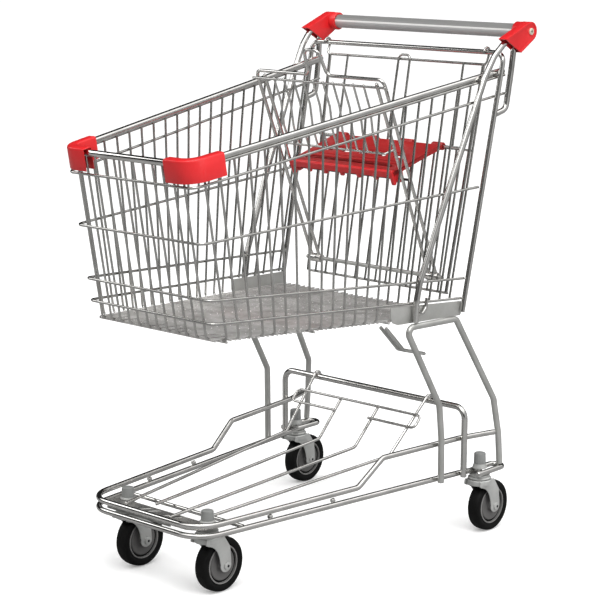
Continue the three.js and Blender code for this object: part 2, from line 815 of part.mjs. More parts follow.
function fork() {
  const { top, sheet, half } = CROWN;
  const crown = turned(
    [
      [0, top - sheet],
      [22, top - sheet],
      [22, top],
      [0, top],
    ],
    12,
  );
  const bridge = box(-half - sheet, half + sheet, -21, 21, top - sheet, top - 0.2);
  const legs = [forkLeg(-half - sheet, -half), forkLeg(half, half + sheet)];
  const axleHole = turnedAlongX(
    [
      [0, -30],
      [5.6, -30],
      [5.6, 30],
      [0, 30],
    ],
    8,
  ).translate(0, WHEEL.trail, WHEEL.radius);
  const stemHole = turned(
    [
      [0, 90],
      [6, 90],
      [6, 120],
      [0, 120],
    ],
    8,
  );
  return cut(weld([crown, bridge, ...legs]), [axleHole, stemHole]);
}

// The stem bolt, its ball race under the chassis and its nut and washer above, as one turned piece.
function stem(end) {
  const seatTop = SEAT_TOP[end];
  const seatLow = end === "front" ? 129.5 - GAP : LOWER_RAIL_Z - sectionReach(RAIL, 8) - GAP;
  const profile = [
    [0, 101.8],
    [5, 101.8],
    [5, CROWN.top + GAP],
    [21, CROWN.top + GAP],
    [23, CROWN.top + 3],
    [19, Math.min(CROWN.top + 8, seatLow)],
    [5.4, seatLow],
    [5.4, seatTop + GAP],
    [13, seatTop + GAP],
    [13, seatTop + 4],
    [9, seatTop + 4],
    [5, seatTop + 8],
    [5, STEM_TOP[end]],
    [0, STEM_TOP[end]],
  ];
  return turned(profile, 8);
}

function stemCap(end) {
  const base = SEAT_TOP[end] + 4 + GAP;
  const top = CAP_TOP[end];
  const profile = [
    [10, base],
    [11.8, base],
    [11.3, top - 2],
    [9.5, top],
    [0, top],
    [0, STEM_TOP[end] + GAP],
    [5.6, STEM_TOP[end] + GAP],
    [10, STEM_TOP[end] - 6],
    [10, base],
  ];
  return turned(profile, 12);
}

function tyre() {
  const outer = WHEEL.radius / Math.cos(Math.PI / WHEEL.facets);
  const half = WHEEL.width / 2;
  const profile = [
    [WHEEL.hub, -half + 2],
    [WHEEL.radius - 6, -half],
    [outer, -half + 5],
    [outer, half - 5],
    [WHEEL.radius - 6, half],
    [WHEEL.hub, half - 2],
    [WHEEL.hub, -half + 2],
  ];
  return turnedAlongX(profile, WHEEL.facets);
}

function hub() {
  const rim = (WHEEL.hub - GAP) * Math.cos(Math.PI / WHEEL.facets);
  const half = WHEEL.width / 2;
  const profile = [
    [5.6, -half - 2],
    [11, -half - 2],
    [13, -half + 3],
    [rim, -half + 3],
    [rim, half - 3],
    [13, half - 3],
    [11, half + 2],
    [5.6, half + 2],
    [5.6, -half - 2],
  ];
  return turnedAlongX(profile, 12);
}

function axle() {
  const reach = CROWN.half + CROWN.sheet + GAP;
  const profile = [
    [0, -reach - 3.5],
    [7.5, -reach - 3.5],
    [7.5, -reach],
    [5, -reach],
    [5, reach],
    [7.5, reach],
    [7.5, reach + 3.5],
    [0, reach + 3.5],
  ];
  return turnedAlongX(profile, 8);
}

function casters() {
  for (const end of ["front", "rear"]) {
    for (const [side, sign] of [
      ["left", 1],
      ["right", -1],
    ]) {
      const caster = new THREE.Group();
      caster.position.set(sign * STEMS[end].x, STEMS[end].y, 0);
      cart.add(caster);
      const wheel = new THREE.Group();
      wheel.position.set(0, WHEEL.trail, WHEEL.radius);
      caster.add(wheel);
      const place = `${end}_${side}`;
      addTo(caster, `stem_cap_${place}`, stemCap(end), MATERIAL.greyPlastic());
      addTo(caster, `caster_stem_${place}`, stem(end), MATERIAL.zinc());
      addTo(caster, `caster_fork_${place}`, fork(), MATERIAL.zinc());
      addTo(wheel, `wheel_axle_${place}`, axle(), MATERIAL.zinc());
      addTo(wheel, `wheel_hub_${place}`, hub(), MATERIAL.hubGrey());
      addTo(wheel, `tyre_${place}`, tyre(), MATERIAL.rubber());
    }
  }
}

chassis();
legsAndPosts();
handle();
basket();
gate();
seatBack();
seat();
lowerRack();
casters();

export default cart;
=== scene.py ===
"""The looks of the shopping cart: round wires, moulded plastic and turned wheels.

The design is written in millimetres, in the cart's own frame: +Z up, the nose towards -Y.
"""

import math

import bmesh
import bpy
from mathutils import Matrix, Vector


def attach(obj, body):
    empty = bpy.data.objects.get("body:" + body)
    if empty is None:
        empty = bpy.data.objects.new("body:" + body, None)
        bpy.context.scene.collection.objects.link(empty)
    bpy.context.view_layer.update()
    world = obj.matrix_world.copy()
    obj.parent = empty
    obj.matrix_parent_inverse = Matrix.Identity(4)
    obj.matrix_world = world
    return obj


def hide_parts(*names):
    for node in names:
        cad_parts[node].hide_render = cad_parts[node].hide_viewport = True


MM = 0.001
SIDES = {"left": 1, "right": -1}
FIRST_COLOUR, SECOND_COLOUR, MIXED_COLOUR = 6, 7, 2  # the colour sockets of a mix node

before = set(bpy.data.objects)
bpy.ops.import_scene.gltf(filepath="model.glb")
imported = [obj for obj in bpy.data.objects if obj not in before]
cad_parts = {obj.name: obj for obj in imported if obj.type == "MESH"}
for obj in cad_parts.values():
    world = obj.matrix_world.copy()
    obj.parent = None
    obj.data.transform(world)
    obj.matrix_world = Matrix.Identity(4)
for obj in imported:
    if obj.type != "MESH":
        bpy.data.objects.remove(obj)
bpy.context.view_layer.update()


# ---------------------------------------------------------------- materials


def node_material(name):
    material = bpy.data.materials.new(name)
    material.use_nodes = True
    nodes = material.node_tree.nodes
    return material, nodes, material.node_tree.links, nodes["Principled BSDF"]


def coordinates(nodes, links, scale, stretch=(1, 1, 1)):
    where = nodes.new("ShaderNodeTexCoord")
    mapping = nodes.new("ShaderNodeMapping")
    mapping.inputs["Scale"].default_value = [scale * s for s in stretch]
    links.new(where.outputs["Object"], mapping.inputs["Vector"])
    return mapping.outputs["Vector"]


def noise(nodes, links, scale, detail=3.0, stretch=(1, 1, 1), rough=0.55):
    texture = nodes.new("ShaderNodeTexNoise")
    texture.inputs["Scale"].default_value = 1.0
    texture.inputs["Detail"].default_value = detail
    texture.inputs["Roughness"].default_value = rough
    links.new(coordinates(nodes, links, scale, stretch), texture.inputs["Vector"])
    return texture.outputs["Fac"]


def ramp(nodes, links, factor, low, high, start=0.3, end=0.7):
    blend = nodes.new("ShaderNodeMapRange")
    blend.inputs["From Min"].default_value = start
    blend.inputs["From Max"].default_value = end
    blend.inputs["To Min"].default_value = low
    blend.inputs["To Max"].default_value = high
    links.new(factor, blend.inputs["Value"])
    return blend.outputs["Result"]


def mix_colour(nodes, links, factor, first, second):
    mix = nodes.new("ShaderNodeMix")
    mix.data_type = "RGBA"
    links.new(factor, mix.inputs["Factor"])
    mix.inputs[FIRST_COLOUR].default_value = (*first, 1)
    mix.inputs[SECOND_COLOUR].default_value = (*second, 1)
    return mix.outputs[MIXED_COLOUR]


def mix_over(nodes, links, factor, under, tone):
    """Lays one flat colour over another node's colour."""
    mix = nodes.new("ShaderNodeMix")
    mix.data_type = "RGBA"
    links.new(factor, mix.inputs["Factor"])
    links.new(under, mix.inputs[FIRST_COLOUR])
    mix.inputs[SECOND_COLOUR].default_value = (*tone, 1)
    return mix.outputs[MIXED_COLOUR]


def add_bump(nodes, links, shader, height, strength, distance):
    bump = nodes.new("ShaderNodeBump")
    bump.inputs["Strength"].default_value = strength
    bump.inputs["Distance"].default_value = distance
    links.new(height, bump.inputs["Height"])
    links.new(bump.outputs["Normal"], shader.inputs["Normal"])


def metal(name, light, dark, gloss, dull, grain=220.0, bump=0.05, metallic=1.0):
    """Plated steel: patchy brightness and gloss and a fine grain."""
    material, nodes, links, shader = node_material(name)
    shader.inputs["Metallic"].default_value = metallic
    patches = noise(nodes, links, 28.0, 4.0)
    fine = noise(nodes, links, grain, 2.0)
    tint = ramp(nodes, links, patches, 0.0, 1.0, 0.35, 0.68)
    links.new(mix_colour(nodes, links, tint, light, dark), shader.inputs["Base Color"])
    links.new(ramp(nodes, links, fine, gloss, dull), shader.inputs["Roughness"])
    add_bump(nodes, links, shader, fine, bump, 0.0002)
    return material


def plastic(name, colour, shade, rough, grain=900.0, bump=0.12, coat=0.0, bleed=0.0, shine=0.5):
    """Moulded plastic: slow colour drift, a fine spark-eroded grain and scuffed gloss."""
    material, nodes, links, shader = node_material(name)
    drift = noise(nodes, links, 14.0, 3.0)
    fine = noise(nodes, links, grain, 2.0)
    scuff = noise(nodes, links, 70.0, 5.0)
    tint = ramp(nodes, links, drift, 0.0, 1.0)
    links.new(mix_colour(nodes, links, tint, colour, shade), shader.inputs["Base Color"])
    links.new(ramp(nodes, links, scuff, rough * 0.85, rough * 1.2), shader.inputs["Roughness"])
    shader.inputs["Specular IOR Level"].default_value = shine
    shader.inputs["Coat Weight"].default_value = coat
    shader.inputs["Coat Roughness"].default_value = 0.2
    shader.inputs["Subsurface Weight"].default_value = bleed
    shader.inputs["Subsurface Radius"].default_value = (0.004, 0.001, 0.001)
    add_bump(nodes, links, shader, fine, bump, 0.0002)
    return material


def handle_plastic():
    """A grey tube, darker on top and paler below, with a thin white painted highlight between them.
    """
    material, nodes, links, shader = node_material("handle_grey")
    where = nodes.new("ShaderNodeTexCoord")
    split = nodes.new("ShaderNodeSeparateXYZ")
    links.new(where.outputs["Object"], split.inputs["Vector"])
    height = split.outputs["Z"]
    drift = noise(nodes, links, 60.0, 3.0, (0.1, 1, 1))
    colour = mix_colour(nodes, links, drift, (0.50, 0.51, 0.51), (0.56, 0.57, 0.57))
    # The white band is a painted highlight, laid along the tube where a long lamp would glint on
    # it.
    painted_highlight, dark_top, blend = 0.9570, 0.9604, 0.0004
    for low, tone in ((painted_highlight, 0.9), (dark_top, 0.25)):
        cover = ramp(nodes, links, height, 0.0, 1.0, low, low + blend)
        colour = mix_over(nodes, links, cover, colour, (tone, tone, tone * 0.98))
    links.new(colour, shader.inputs["Base Color"])
    shader.inputs["Metallic"].default_value = 0.1
    shader.inputs["Roughness"].default_value = 0.34
    add_bump(nodes, links, shader, noise(nodes, links, 700.0, 2.0), 0.06, 0.0002)
    return material


# Each metal is a light and a dark colour, then its glossiest and dullest roughness.
CHROME = metal("chrome_plate", (0.74, 0.73, 0.71), (0.60, 0.595, 0.575), 0.06, 0.14)
WIRE_CHROME = metal("chrome_wire", (0.58, 0.575, 0.555), (0.43, 0.425, 0.41), 0.1, 0.2)
MESH_CHROME = metal(
    "chrome_mesh", (0.82, 0.81, 0.79), (0.52, 0.51, 0.495), 0.14, 0.28, metallic=0.65
)
DECK = metal(
    "deck_plate", (0.62, 0.61, 0.59), (0.46, 0.45, 0.43), 0.24, 0.4, 300.0, 0.08, metallic=0.85
)
PLATE_ZINC = metal(
    "plate_zinc", (0.55, 0.55, 0.53), (0.46, 0.46, 0.44), 0.36, 0.48, 300.0, 0.1, metallic=0.6
)
SATIN = metal(
    "satin_plate", (0.60, 0.60, 0.58), (0.50, 0.50, 0.48), 0.3, 0.44, 400.0, 0.06, metallic=0.75
)
ZINC = metal(
    "zinc_plate", (0.60, 0.605, 0.59), (0.50, 0.505, 0.49), 0.34, 0.48, 300.0, 0.1, metallic=0.5
)
# Dark steel; the dark discs on the handle screws and the axle heads use it as painted shade for
# their holes.
DARK_STEEL_AND_SHADE = metal("dark_steel", (0.07, 0.07, 0.075), (0.03, 0.03, 0.035), 0.3, 0.45)
CREAM = metal("cream_plate", (0.84, 0.80, 0.66), (0.74, 0.70, 0.56), 0.3, 0.44, metallic=0.5)

# Each plastic is a colour and its drift, then its roughness.
RED = plastic(
    "red_plastic", (0.80, 0.024, 0.028), (0.68, 0.014, 0.018), 0.36, coat=0.25, bleed=0.06
)
# The seat's red is the same plastic as RED, painted darker as shade.
SEAT_RED_PAINTED_SHADE = plastic(
    "seat_red_painted_shade", (0.42, 0.016, 0.016), (0.32, 0.010, 0.011), 0.42, coat=0.1, bleed=0.05
)
CAP_GREY = plastic("cap_grey", (0.26, 0.265, 0.26), (0.21, 0.215, 0.21), 0.5)
HUB_GREY = plastic("hub_grey", (0.13, 0.127, 0.125), (0.105, 0.102, 0.10), 0.45)
RING_GREY = plastic("ring_grey", (0.27, 0.265, 0.26), (0.21, 0.205, 0.20), 0.4)
# Black tyre rubber; the hub's groove also takes it, as painted shade.
RUBBER_AND_GROOVE_SHADE = plastic(
    "tyre_rubber_and_groove_shade", (0.0015, 0.0015, 0.0015), (0.003, 0.003, 0.0028), 0.62, 500.0, 0.2, shine=0.22
)
HANDLE = handle_plastic()


# ---------------------------------------------------------------- paths


def pt(x, y, z):
    return Vector((x, y, z))


def mirrored(points):
    return [pt(-p.x, p.y, p.z) for p in points]


def fillet(corners, bend, step=0.2):
    """The corners of a bent rod, with each inner one turned into an arc of radius bend."""
    points = [corners[0]]
    for before, here, after in zip(corners, corners[1:], corners[2:]):
        arriving = (here - before).normalized()
        leaving = (after - here).normalized()
        turn = arriving.angle(leaving)
        if turn < 1e-4:
            continue
        room = 0.49 * min((here - before).length, (after - here).length)
        cut = min(bend * math.tan(turn / 2), room)
        radius = cut / math.tan(turn / 2)
        towards = (leaving - arriving).normalized()
        centre = here + towards * (radius / math.cos(turn / 2))
        axis = arriving.cross(leaving).normalized()
        start = here - arriving * cut - centre
        chords = max(2, math.ceil(turn / step))
        for i in range(chords + 1):
            points.append(centre + Matrix.Rotation(turn * i / chords, 3, axis) @ start)
    points.append(corners[-1])
    return points


def turn_frames(points, closed=False):
    """(point, normal, binormal) along a path, carried along without twist."""
    count = len(points)
    tangents = []
    for i in range(count):
        before = points[i - 1] if closed or i > 0 else points[0]
        after = points[(i + 1) % count] if closed or i < count - 1 else points[-1]
        arriving = points[i] - before
        leaving = after - points[i]
        tangent = arriving.normalized() + leaving.normalized()
        tangents.append(tangent.normalized())
    first = tangents[0]
    side = Vector((0, 0, 1)) if abs(first.z) < 0.9 else Vector((1, 0, 0))
    normal = (side - first * side.dot(first)).normalized()
    frames = []
    for point, tangent in zip(points, tangents):
        normal = (normal - tangent * normal.dot(tangent)).normalized()
        frames.append((point, normal, tangent.cross(normal)))
    return frames


class Shape:
    """A mesh under construction, in millimetres."""

    def __init__(self):
        self.verts = []
        self.faces = []

    def ring(self, points):
        start = len(self.verts)
        self.verts.extend(points)
        return list(range(start, start + len(points)))

    def bridge(self, first, second):
        count = len(first)
        for i in range(count):
            j = (i + 1) % count
            self.faces.append((first[i], first[j], second[j], second[i]))

    def tube(self, corners, diameter, bend=0.0, sides=12):
        """A round rod along the corners, with softly rounded ends."""
        points = fillet(corners, bend) if bend > 0 else list(corners)
        radius = diameter / 2
        soft = min(0.3 * radius, 1.0)
        start = (points[0] - points[1]).normalized()
        end = (points[-1] - points[-2]).normalized()
        frames = turn_frames(points)
        first, final = frames[0], frames[-1]
        stations = [(first[0], radius - soft, first), (first[0] - start * soft, radius, first)]
        stations += [(f[0], radius, f) for f in frames[1:-1]]
        stations += [(final[0] - end * soft, radius, final), (final[0], radius - soft, final)]
        last = None
        for centre, r, (_, normal, binormal) in stations:
            loop = []
            for i in range(sides):
                a = 2 * math.pi * i / sides
                loop.append(centre + normal * (r * math.cos(a)) + binormal * (r * math.sin(a)))
            here = self.ring(loop)
            if last is None:
                self.faces.append(tuple(reversed(here)))
            else:
                self.bridge(last, here)
            last = here
        self.faces.append(tuple(last))
        return self

    def loop(self, corners, diameter, sides=12):
        """A closed ring of round rod."""
        frames = turn_frames(corners, closed=True)
        rings = []
        for centre, normal, binormal in frames:
            angles = [2 * math.pi * i / sides for i in range(sides)]
            offsets = [normal * math.cos(a) + binormal * math.sin(a) for a in angles]
            rings.append(self.ring([centre + o * (diameter / 2) for o in offsets]))
        for first, second in zip(rings, rings[1:] + rings[:1]):
            self.bridge(first, second)
        return self

    def revolve(self, profile, centre, axis="X", segments=48):
        """A profile of (radius, along) points turned about an axis through centre."""
        rings = []
        for radius, along in profile:
            if radius < 1e-6:
                rings.append(self.ring([centre + around(axis, 0, 0, along)]))
                continue
            angles = [2 * math.pi * i / segments for i in range(segments)]
            rings.append(self.ring([centre + around(axis, radius, a, along) for a in angles]))
        for first, second in zip(rings, rings[1:]):
            if len(first) == 1 and len(second) == 1:
                continue
            if len(first) == 1:
                self.fan(first[0], second)
            elif len(second) == 1:
                self.fan(second[0], first, True)
            else:
                self.bridge(first, second)
        return self

    def fan(self, tip, ring, flip=False):
        for i in range(len(ring)):
            a, b = ring[i], ring[(i + 1) % len(ring)]
            self.faces.append((tip, b, a) if flip else (tip, a, b))

    def prism(self, outline, place, low, high):
        """A flat outline made solid between two heights; place maps (u, v, height) to the cart."""
        bottom = self.ring([place(u, v, low) for u, v in outline])
        top = self.ring([place(u, v, high) for u, v in outline])
        self.bridge(bottom, top)
        self.faces.append(tuple(reversed(bottom)))
        self.faces.append(tuple(top))
        return self

    def sweep(self, stations, section):
        """A closed section carried along stations; each maps a section point to the cart."""
        rings = [self.ring([place(a, b) for a, b in section]) for place in stations]
        for first, second in zip(rings, rings[1:]):
            self.bridge(first, second)
        self.faces.append(tuple(reversed(rings[0])))
        self.faces.append(tuple(rings[-1]))
        return self

    def mesh(self, name):
        mesh = bpy.data.meshes.new(name)
        mesh.from_pydata([v * MM for v in self.verts], [], self.faces)
        tidy = bmesh.new()
        tidy.from_mesh(mesh)
        bmesh.ops.remove_doubles(tidy, verts=tidy.verts, dist=1e-6)
        bmesh.ops.recalc_face_normals(tidy, faces=tidy.faces)
        tidy.to_mesh(mesh)
        tidy.free()
        return mesh


def around(axis, radius, angle, along):
    a = radius * math.cos(angle)
    b = radius * math.sin(angle)
    return Vector((along, a, b)) if axis == "X" else Vector((a, b, along))


def yz(x_sign=1):
    """Maps an outline in the Y-Z plane and a height along X to the cart."""
    return lambda u, v, h: pt(x_sign * h, u, v)


# ---------------------------------------------------------------- pieces


def piece(name, shape, material, slot, body, replaces=(), bevel=0.0, smooth=40, cutters=()):
    """Makes the object, cuts and softens it, and hangs it on its body."""
    made = bpy.data.objects.new(name, shape.mesh(name))
    bpy.context.scene.collection.objects.link(made)
    made.data.materials.append(material)
    for cutter in cutters:
        carve(made, cutter)
    if bevel:
        soften(made, bevel)
    made.data.shade_smooth()
    made.data.set_sharp_from_angle(angle=math.radians(smooth))
    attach(made, body)
    if replaces:
        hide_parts(*replaces)
    return made


def applied(made):
    """Turns the object's modifiers into its mesh."""
    bpy.context.view_layer.update()
    evaluated = made.evaluated_get(bpy.context.evaluated_depsgraph_get())
    mesh = bpy.data.meshes.new_from_object(evaluated)
    old = made.data
    made.modifiers.clear()
    made.data = mesh
    bpy.data.meshes.remove(old)


def carve(made, cutter):
    tool = bpy.data.objects.new("tool", cutter.mesh("tool"))
    bpy.context.scene.collection.objects.link(tool)
    cut = made.modifiers.new("cut", "BOOLEAN")
    cut.operation = "DIFFERENCE"
    cut.solver = "EXACT"
    cut.object = tool
    applied(made)
    bpy.data.objects.remove(tool)


def soften(made, width):
    bevel = made.modifiers.new("soft", "BEVEL")
    bevel.width = width * MM
    bevel.segments = 3
    bevel.limit_method = "ANGLE"
    bevel.angle_limit = math.radians(35)
    bevel.harden_normals = False
    applied(made)


# ---------------------------------------------------------------- where things are

# The cage: its rim, how its walls lean and flare, and its floor.
RIM_FRONT_Y = -399.4
RIM_FRONT_Z = 770.0
RIM_SLOPE = 0.155
LEAN = 0.18
FLARE = 0.103
LOW_FLARE = 0.0165
WIDTH_AT_NOSE = 151.0
FLOOR_FRONT_Z = 468.5
# The gate's hinge bar, the hoop's cross bar for the rack, and how the gate and seat back lean.
HINGE = pt(0, 333, 919)
REAR_HOOP_Y, REAR_HOOP_Z = 244, 253.3
GATE_LEAN = math.radians(10.8)
BACK_LEAN = math.radians(23.2)
# The two rails: where their nose is and how high the lower one lies.
NOSE_Y = -377
LOW_RAIL_Z = 123
RAIL_DIAMETER = 10.5


def rim_x(y):
    return WIDTH_AT_NOSE + FLARE * (y - RIM_FRONT_Y)


def wall_x(y, z):
    """Half the width of the wire cage, which flares a little more near the floor."""
    drop = (rim_z(y) - z) / (rim_z(y) - floor_z(y))
    start = front_y(RIM_FRONT_Z - drop * (RIM_FRONT_Z - FLOOR_FRONT_Z))
    return WIDTH_AT_NOSE + (FLARE + LOW_FLARE * drop) * (y - start)


def front_y(z):
    return RIM_FRONT_Y + LEAN * (RIM_FRONT_Z - z)


def rim_z(y):
    return RIM_FRONT_Z + RIM_SLOPE * (y - RIM_FRONT_Y)


def floor_z(y):
    return 467 - 0.0515 * (y + 346)


def rail_x(y):
    return 141 + 0.126 * (y - NOSE_Y)


def on_rail(y, z):
    return pt(rail_x(y), y, z)


def hoop_point(z):
    down = HINGE.z - z
    return pt(239.5 - 0.0203 * down, HINGE.y - 0.21 * down, z)


# ---------------------------------------------------------------- chassis


def rail(tail, nose_z, side_z, bend):
    """A rod that runs along one side, round the nose and back along the other side."""
    half = [on_rail(NOSE_Y, nose_z), on_rail(-40, side_z)]
    front = fillet([*mirrored(half)[::-1], *half], 55)[1:-1]
    behind = fillet([front[-1], *tail], bend)
    corners = [*mirrored(behind)[::-1], *front[1:-1], *behind]
    return Shape().tube(corners, RAIL_DIAMETER, 0, 16)


def chassis():
    tail = [on_rail(-12.8, 144.3), on_rail(47.5, 189.6), on_rail(243, 192), pt(243, 325, 192.6)]
    shape = rail(tail, 141, 144, 16)
    piece("upper_rail_rod", shape, CHROME, "bright_chrome", "frame", ["upper_rail"])

    corners = ((226, 273), (226, 345), (254, 345), (254, 259))
    tail = [on_rail(243, LOW_RAIL_Z), *[pt(x, y, LOW_RAIL_Z) for x, y in corners]]
    shape = rail(tail, LOW_RAIL_Z, LOW_RAIL_Z, 13.9)
    for sign, y in ((1, -220), (1, -74), (-1, -206), (-1, -74)):
        x = sign * rail_x(y)
        shape.tube([pt(x, y - 4, 132.4), pt(x, y + 4, 132.4)], 8, 0, 12)
    piece("lower_rail_rod", shape, CHROME, "bright_chrome", "frame", ["lower_rail"])

    y, z = -275, 124.5
    half = rail_x(y) - 5.4
    rod = Shape().tube([pt(-half, y, z), pt(half, y, z)], 7.6)
    piece("front_cross_wire", rod, CHROME, "bright_chrome", "frame", ["front_cross_rod"])
    front_plate()

    hoop = [pt(231.6, REAR_HOOP_Y, 117.5), pt(232.1, REAR_HOOP_Y, REAR_HOOP_Z)]
    shape = Shape().tube([*mirrored(hoop), *hoop[::-1]], 12, 22, 16)
    piece("rear_hoop_rod", shape, CHROME, "bright_chrome", "frame", ["rear_hoop"])


def front_plate():
    """The stamped plate between the nose rails, with its ribs, slots and front flange."""
    flat = lambda u, v, h: pt(u, v, h)
    outline = [
        (-128, -350), (128, -350), (134, -303), (90, -303),
        (84, -321), (-84, -321), (-90, -303), (-134, -303),
    ]
    plate = Shape().prism(outline, flat, 129.4, 131.8)
    for x in (-58, 0, 58):
        rib = [(x - 20, -346), (x - 13, -346), (x + 7, -324), (x, -324)]
        plate.prism(rib, flat, 131, 133.2)
    for side in SIDES.values():
        arm = [(side * 128, -352), (side * 62, -352), (side * 62, -368), (side * 100, -368)]
        plate.prism(arm, flat, 129.6, 131.6)
    cutters = []
    for x in (-36, -16, 22, 42):
        slot = [(x - 5, -343), (x + 3, -343), (x + 15, -328), (x + 7, -328)]
        cutters.append(Shape().prism(slot, flat, 120, 140))
    across, y = STEMS["front"]
    for sign in SIDES.values():
        hole = [(0, 120), (6.5, 120), (6.5, 140), (0, 140)]
        cutters.append(Shape().revolve(hole, pt(sign * across, y, 0), "Z", 24))
    name = "front_plate"
    piece(f"{name}_stamped", plate, DECK, "satin_steel", "frame", [name], 0.6, 40, cutters)
    lip = [(-100, -367), (62, -367), (62, -369.5), (-100, -369.5)]
    flange = Shape().prism(lip, flat, 127, 137)
    piece(f"{name}_flange", flange, ZINC, "satin_steel", "frame", (), 0.4)


def legs_and_posts():
    foot_x = rail_x(184) + 12.7
    leg = [
        pt(foot_x, 184, 118),
        pt(foot_x, 183, 205),
        pt(221.5, 179, 269),
        pt(215, 84, 431),
        pt(221, 225, 428),
        pt(239.5, 324, 258.6),
        pt(247.5, 331, 190),
        pt(251.5, 331.5, 129.6),
    ]
    front_post = [
        pt(244, 371, 955),
        pt(243.5, 330, 940),
        pt(239, 303, 915),
        pt(235.5, 282, 880),
        pt(227.5, 185, 671),
        pt(219.5, 118.5, 514),
        pt(218.3, 110, 478),
        pt(217.5, 109, 438.2),
    ]
    rear_post = [
        pt(244, 374, 940),
        pt(243.3, 357.5, 929),
        pt(241.5, 353, 886),
        pt(239.5, 341, 814),
        pt(237.5, 312, 807),
    ]
    for side in SIDES:
        flip = mirrored if side == "right" else list
        shape = Shape().tube(flip(leg), 12, 12, 16)
        piece(f"leg_rod_{side}", shape, SATIN, "satin_steel", "frame", [f"leg_frame_{side}"])
        posts = (("front", front_post, 11.5, 40), ("rear", rear_post, 11, 16))
        for end, line, diameter, bend in posts:
            shape = Shape().tube(flip(line), diameter, bend, 16)
            name = f"{end}_post_rod_{side}"
            piece(name, shape, CHROME, "bright_chrome", "frame", [f"{end}_post_{side}"])
        side_plate(side)
        nest_hook(side)
    half = [hoop_point(441), hoop_point(HINGE.z)]
    shape = Shape().tube([*mirrored(half), *half[::-1]], 9.5, 18, 16)
    piece("gate_hoop_rod", shape, CHROME, "bright_chrome", "frame", ["gate_hoop"])


def side_plate(side):
    """The plate that the cage stands on, with the little hook beside the front post."""
    sign = SIDES[side]
    outline = [(74, 437), (234, 434), (236, 437), (236, 461), (56, 471.2), (56, 452), (61, 442)]
    place = lambda u, v, h: pt(sign * (wall_x(u, 455) + 3 + h), u, v)
    plate = Shape().prism(outline, place, -1.1, 1.1)
    name = f"side_plate_{side}"
    piece(f"{name}_sheet", plate, PLATE_ZINC, "zinc_steel", "frame", [name], 0.6)
    line = [pt(217, 142, 480), pt(217.5, 139, 461), pt(218.5, 125, 451), pt(219.5, 111, 457)]
    if side == "right":
        line = mirrored(line)
    hook = Shape().tube(line, 6.5, 12, 12)
    piece(f"{name}_hook", hook, CHROME, "bright_chrome", "frame")


def nest_hook(side):
    inner = [pt(174, 61, 431), pt(176, 110, 382), pt(177.6, 174, 364.3)]
    outer = [pt(p.x + 13, p.y, p.z) for p in inner][::-1]
    corners = fillet([*inner, *outer], 6.4)
    shape = Shape().tube(corners if side == "left" else mirrored(corners), 6.5)
    piece(f"nest_hook_{side}_rod", shape, SATIN, "satin_steel", "frame", [f"nest_hook_{side}"])


# ---------------------------------------------------------------- handle

BAR = pt(0, 394, 957)
KNUCKLE = 18.0  # the bracket's radius round the bar


def bracket_outline(wall=0.0, mouth=0.0):
    """The bracket from the side, drawn in by wall and with its open end pushed out by mouth."""
    points = [(364 - 0.5 * wall - 0.86 * mouth, 919 + 0.87 * wall - 0.5 * mouth)]
    steps = 24
    for i in range(steps + 1):
        a = math.radians(-60 + 172 * i / steps)
        radius = KNUCKLE - wall
        points.append((BAR.y + radius * math.cos(a), BAR.z + radius * math.sin(a)))
    points.append((316 + 0.37 * wall - 0.93 * mouth, 946 - 0.93 * wall - 0.37 * mouth))
    return points


def round_bar(sign, profile, segments=48):
    """A profile of (radius, distance from the middle) turned about the handle bar."""
    return Shape().revolve([(r, sign * x) for r, x in profile], BAR, "X", segments)


def handle():
    bar = round_bar(1, [(0, -233.5), (13.3, -233.5), (13.3, 233.5), (0, 233.5)])
    piece("handle_tube", bar, HANDLE, "handle_plastic", "frame", ["handle_bar"])
    for side, sign in SIDES.items():
        body = Shape().prism(bracket_outline(), yz(sign), 237, 256)
        inset = Shape().prism(bracket_outline(3.4, 3), yz(sign), 255, 260)
        cavity = Shape().prism(bracket_outline(2.4, 12), yz(sign), 239.2, 253)
        bore = round_bar(sign, [(0, 225), (13.7, 225), (13.7, 240), (0, 240)])
        name = f"handle_bracket_{side}"
        cutters = [inset, cavity, bore]
        piece(f"{name}_shell", body, RED, "red_plastic", "frame", [name], 1.5, 40, cutters)
        ring = [(13.9, 222), (16.6, 222), (17.5, 223.2), (17.5, 238), (13.9, 238), (13.9, 222)]
        piece(f"{name}_collar", round_bar(sign, ring), RED, "red_plastic", "frame")
        name = f"handle_screw_{side}"
        dome = [(0, 254.5), (6.4, 254.5), (6.4, 257.2), (5.8, 257.9), (2.5, 258), (2.3, 256)]
        head = round_bar(sign, [*dome, (0, 256)], 32)
        piece(f"{name}_head", head, CREAM, "brass", "frame", [name])
        # A dark disc at the bottom of the head's recess: painted shade for the socket hole.
        socket_shade = round_bar(sign, [(0, 255.8), (2.25, 255.8), (2.25, 256.6), (0, 256.6)], 24)
        piece(f"{name}_socket", socket_shade, DARK_STEEL_AND_SHADE, "brass", "frame")


# ---------------------------------------------------------------- basket

# The wires that wrap the basket: front height, rear height, rear end and how thick the wire is.
BANDS = [
    (762.4, 877.9, 346, 5.0),
    (732, 843.5, 346, 4.8),
    (637, 672.5, 278, 4.8),
    (539, 503.5, 243, 4.8),
    (498, 466.5, 236, 4.8),
]
BAND_OUT = 4.3
UPRIGHT = 4.3


def band_points(band):
    """One wire round the cage: along a side, across the front and back along the other side."""
    front_z, _, rear_y, _ = band
    nose_y = front_y(front_z)
    half = [pt(WIDTH_AT_NOSE + BAND_OUT, nose_y - BAND_OUT, front_z)]
    for i in range(1, 5):
        y = nose_y + (rear_y - nose_y) * i / 4
        half.append(pt(wall_x(y, band_z(band, y)) + BAND_OUT, y, band_z(band, y)))
    return [*mirrored(half)[::-1], *half]


def band_z(band, y):
    front_z, rear_z, rear_y, _ = band
    y0 = front_y(front_z)
    return front_z + (rear_z - front_z) * (y - y0) / (rear_y - y0)


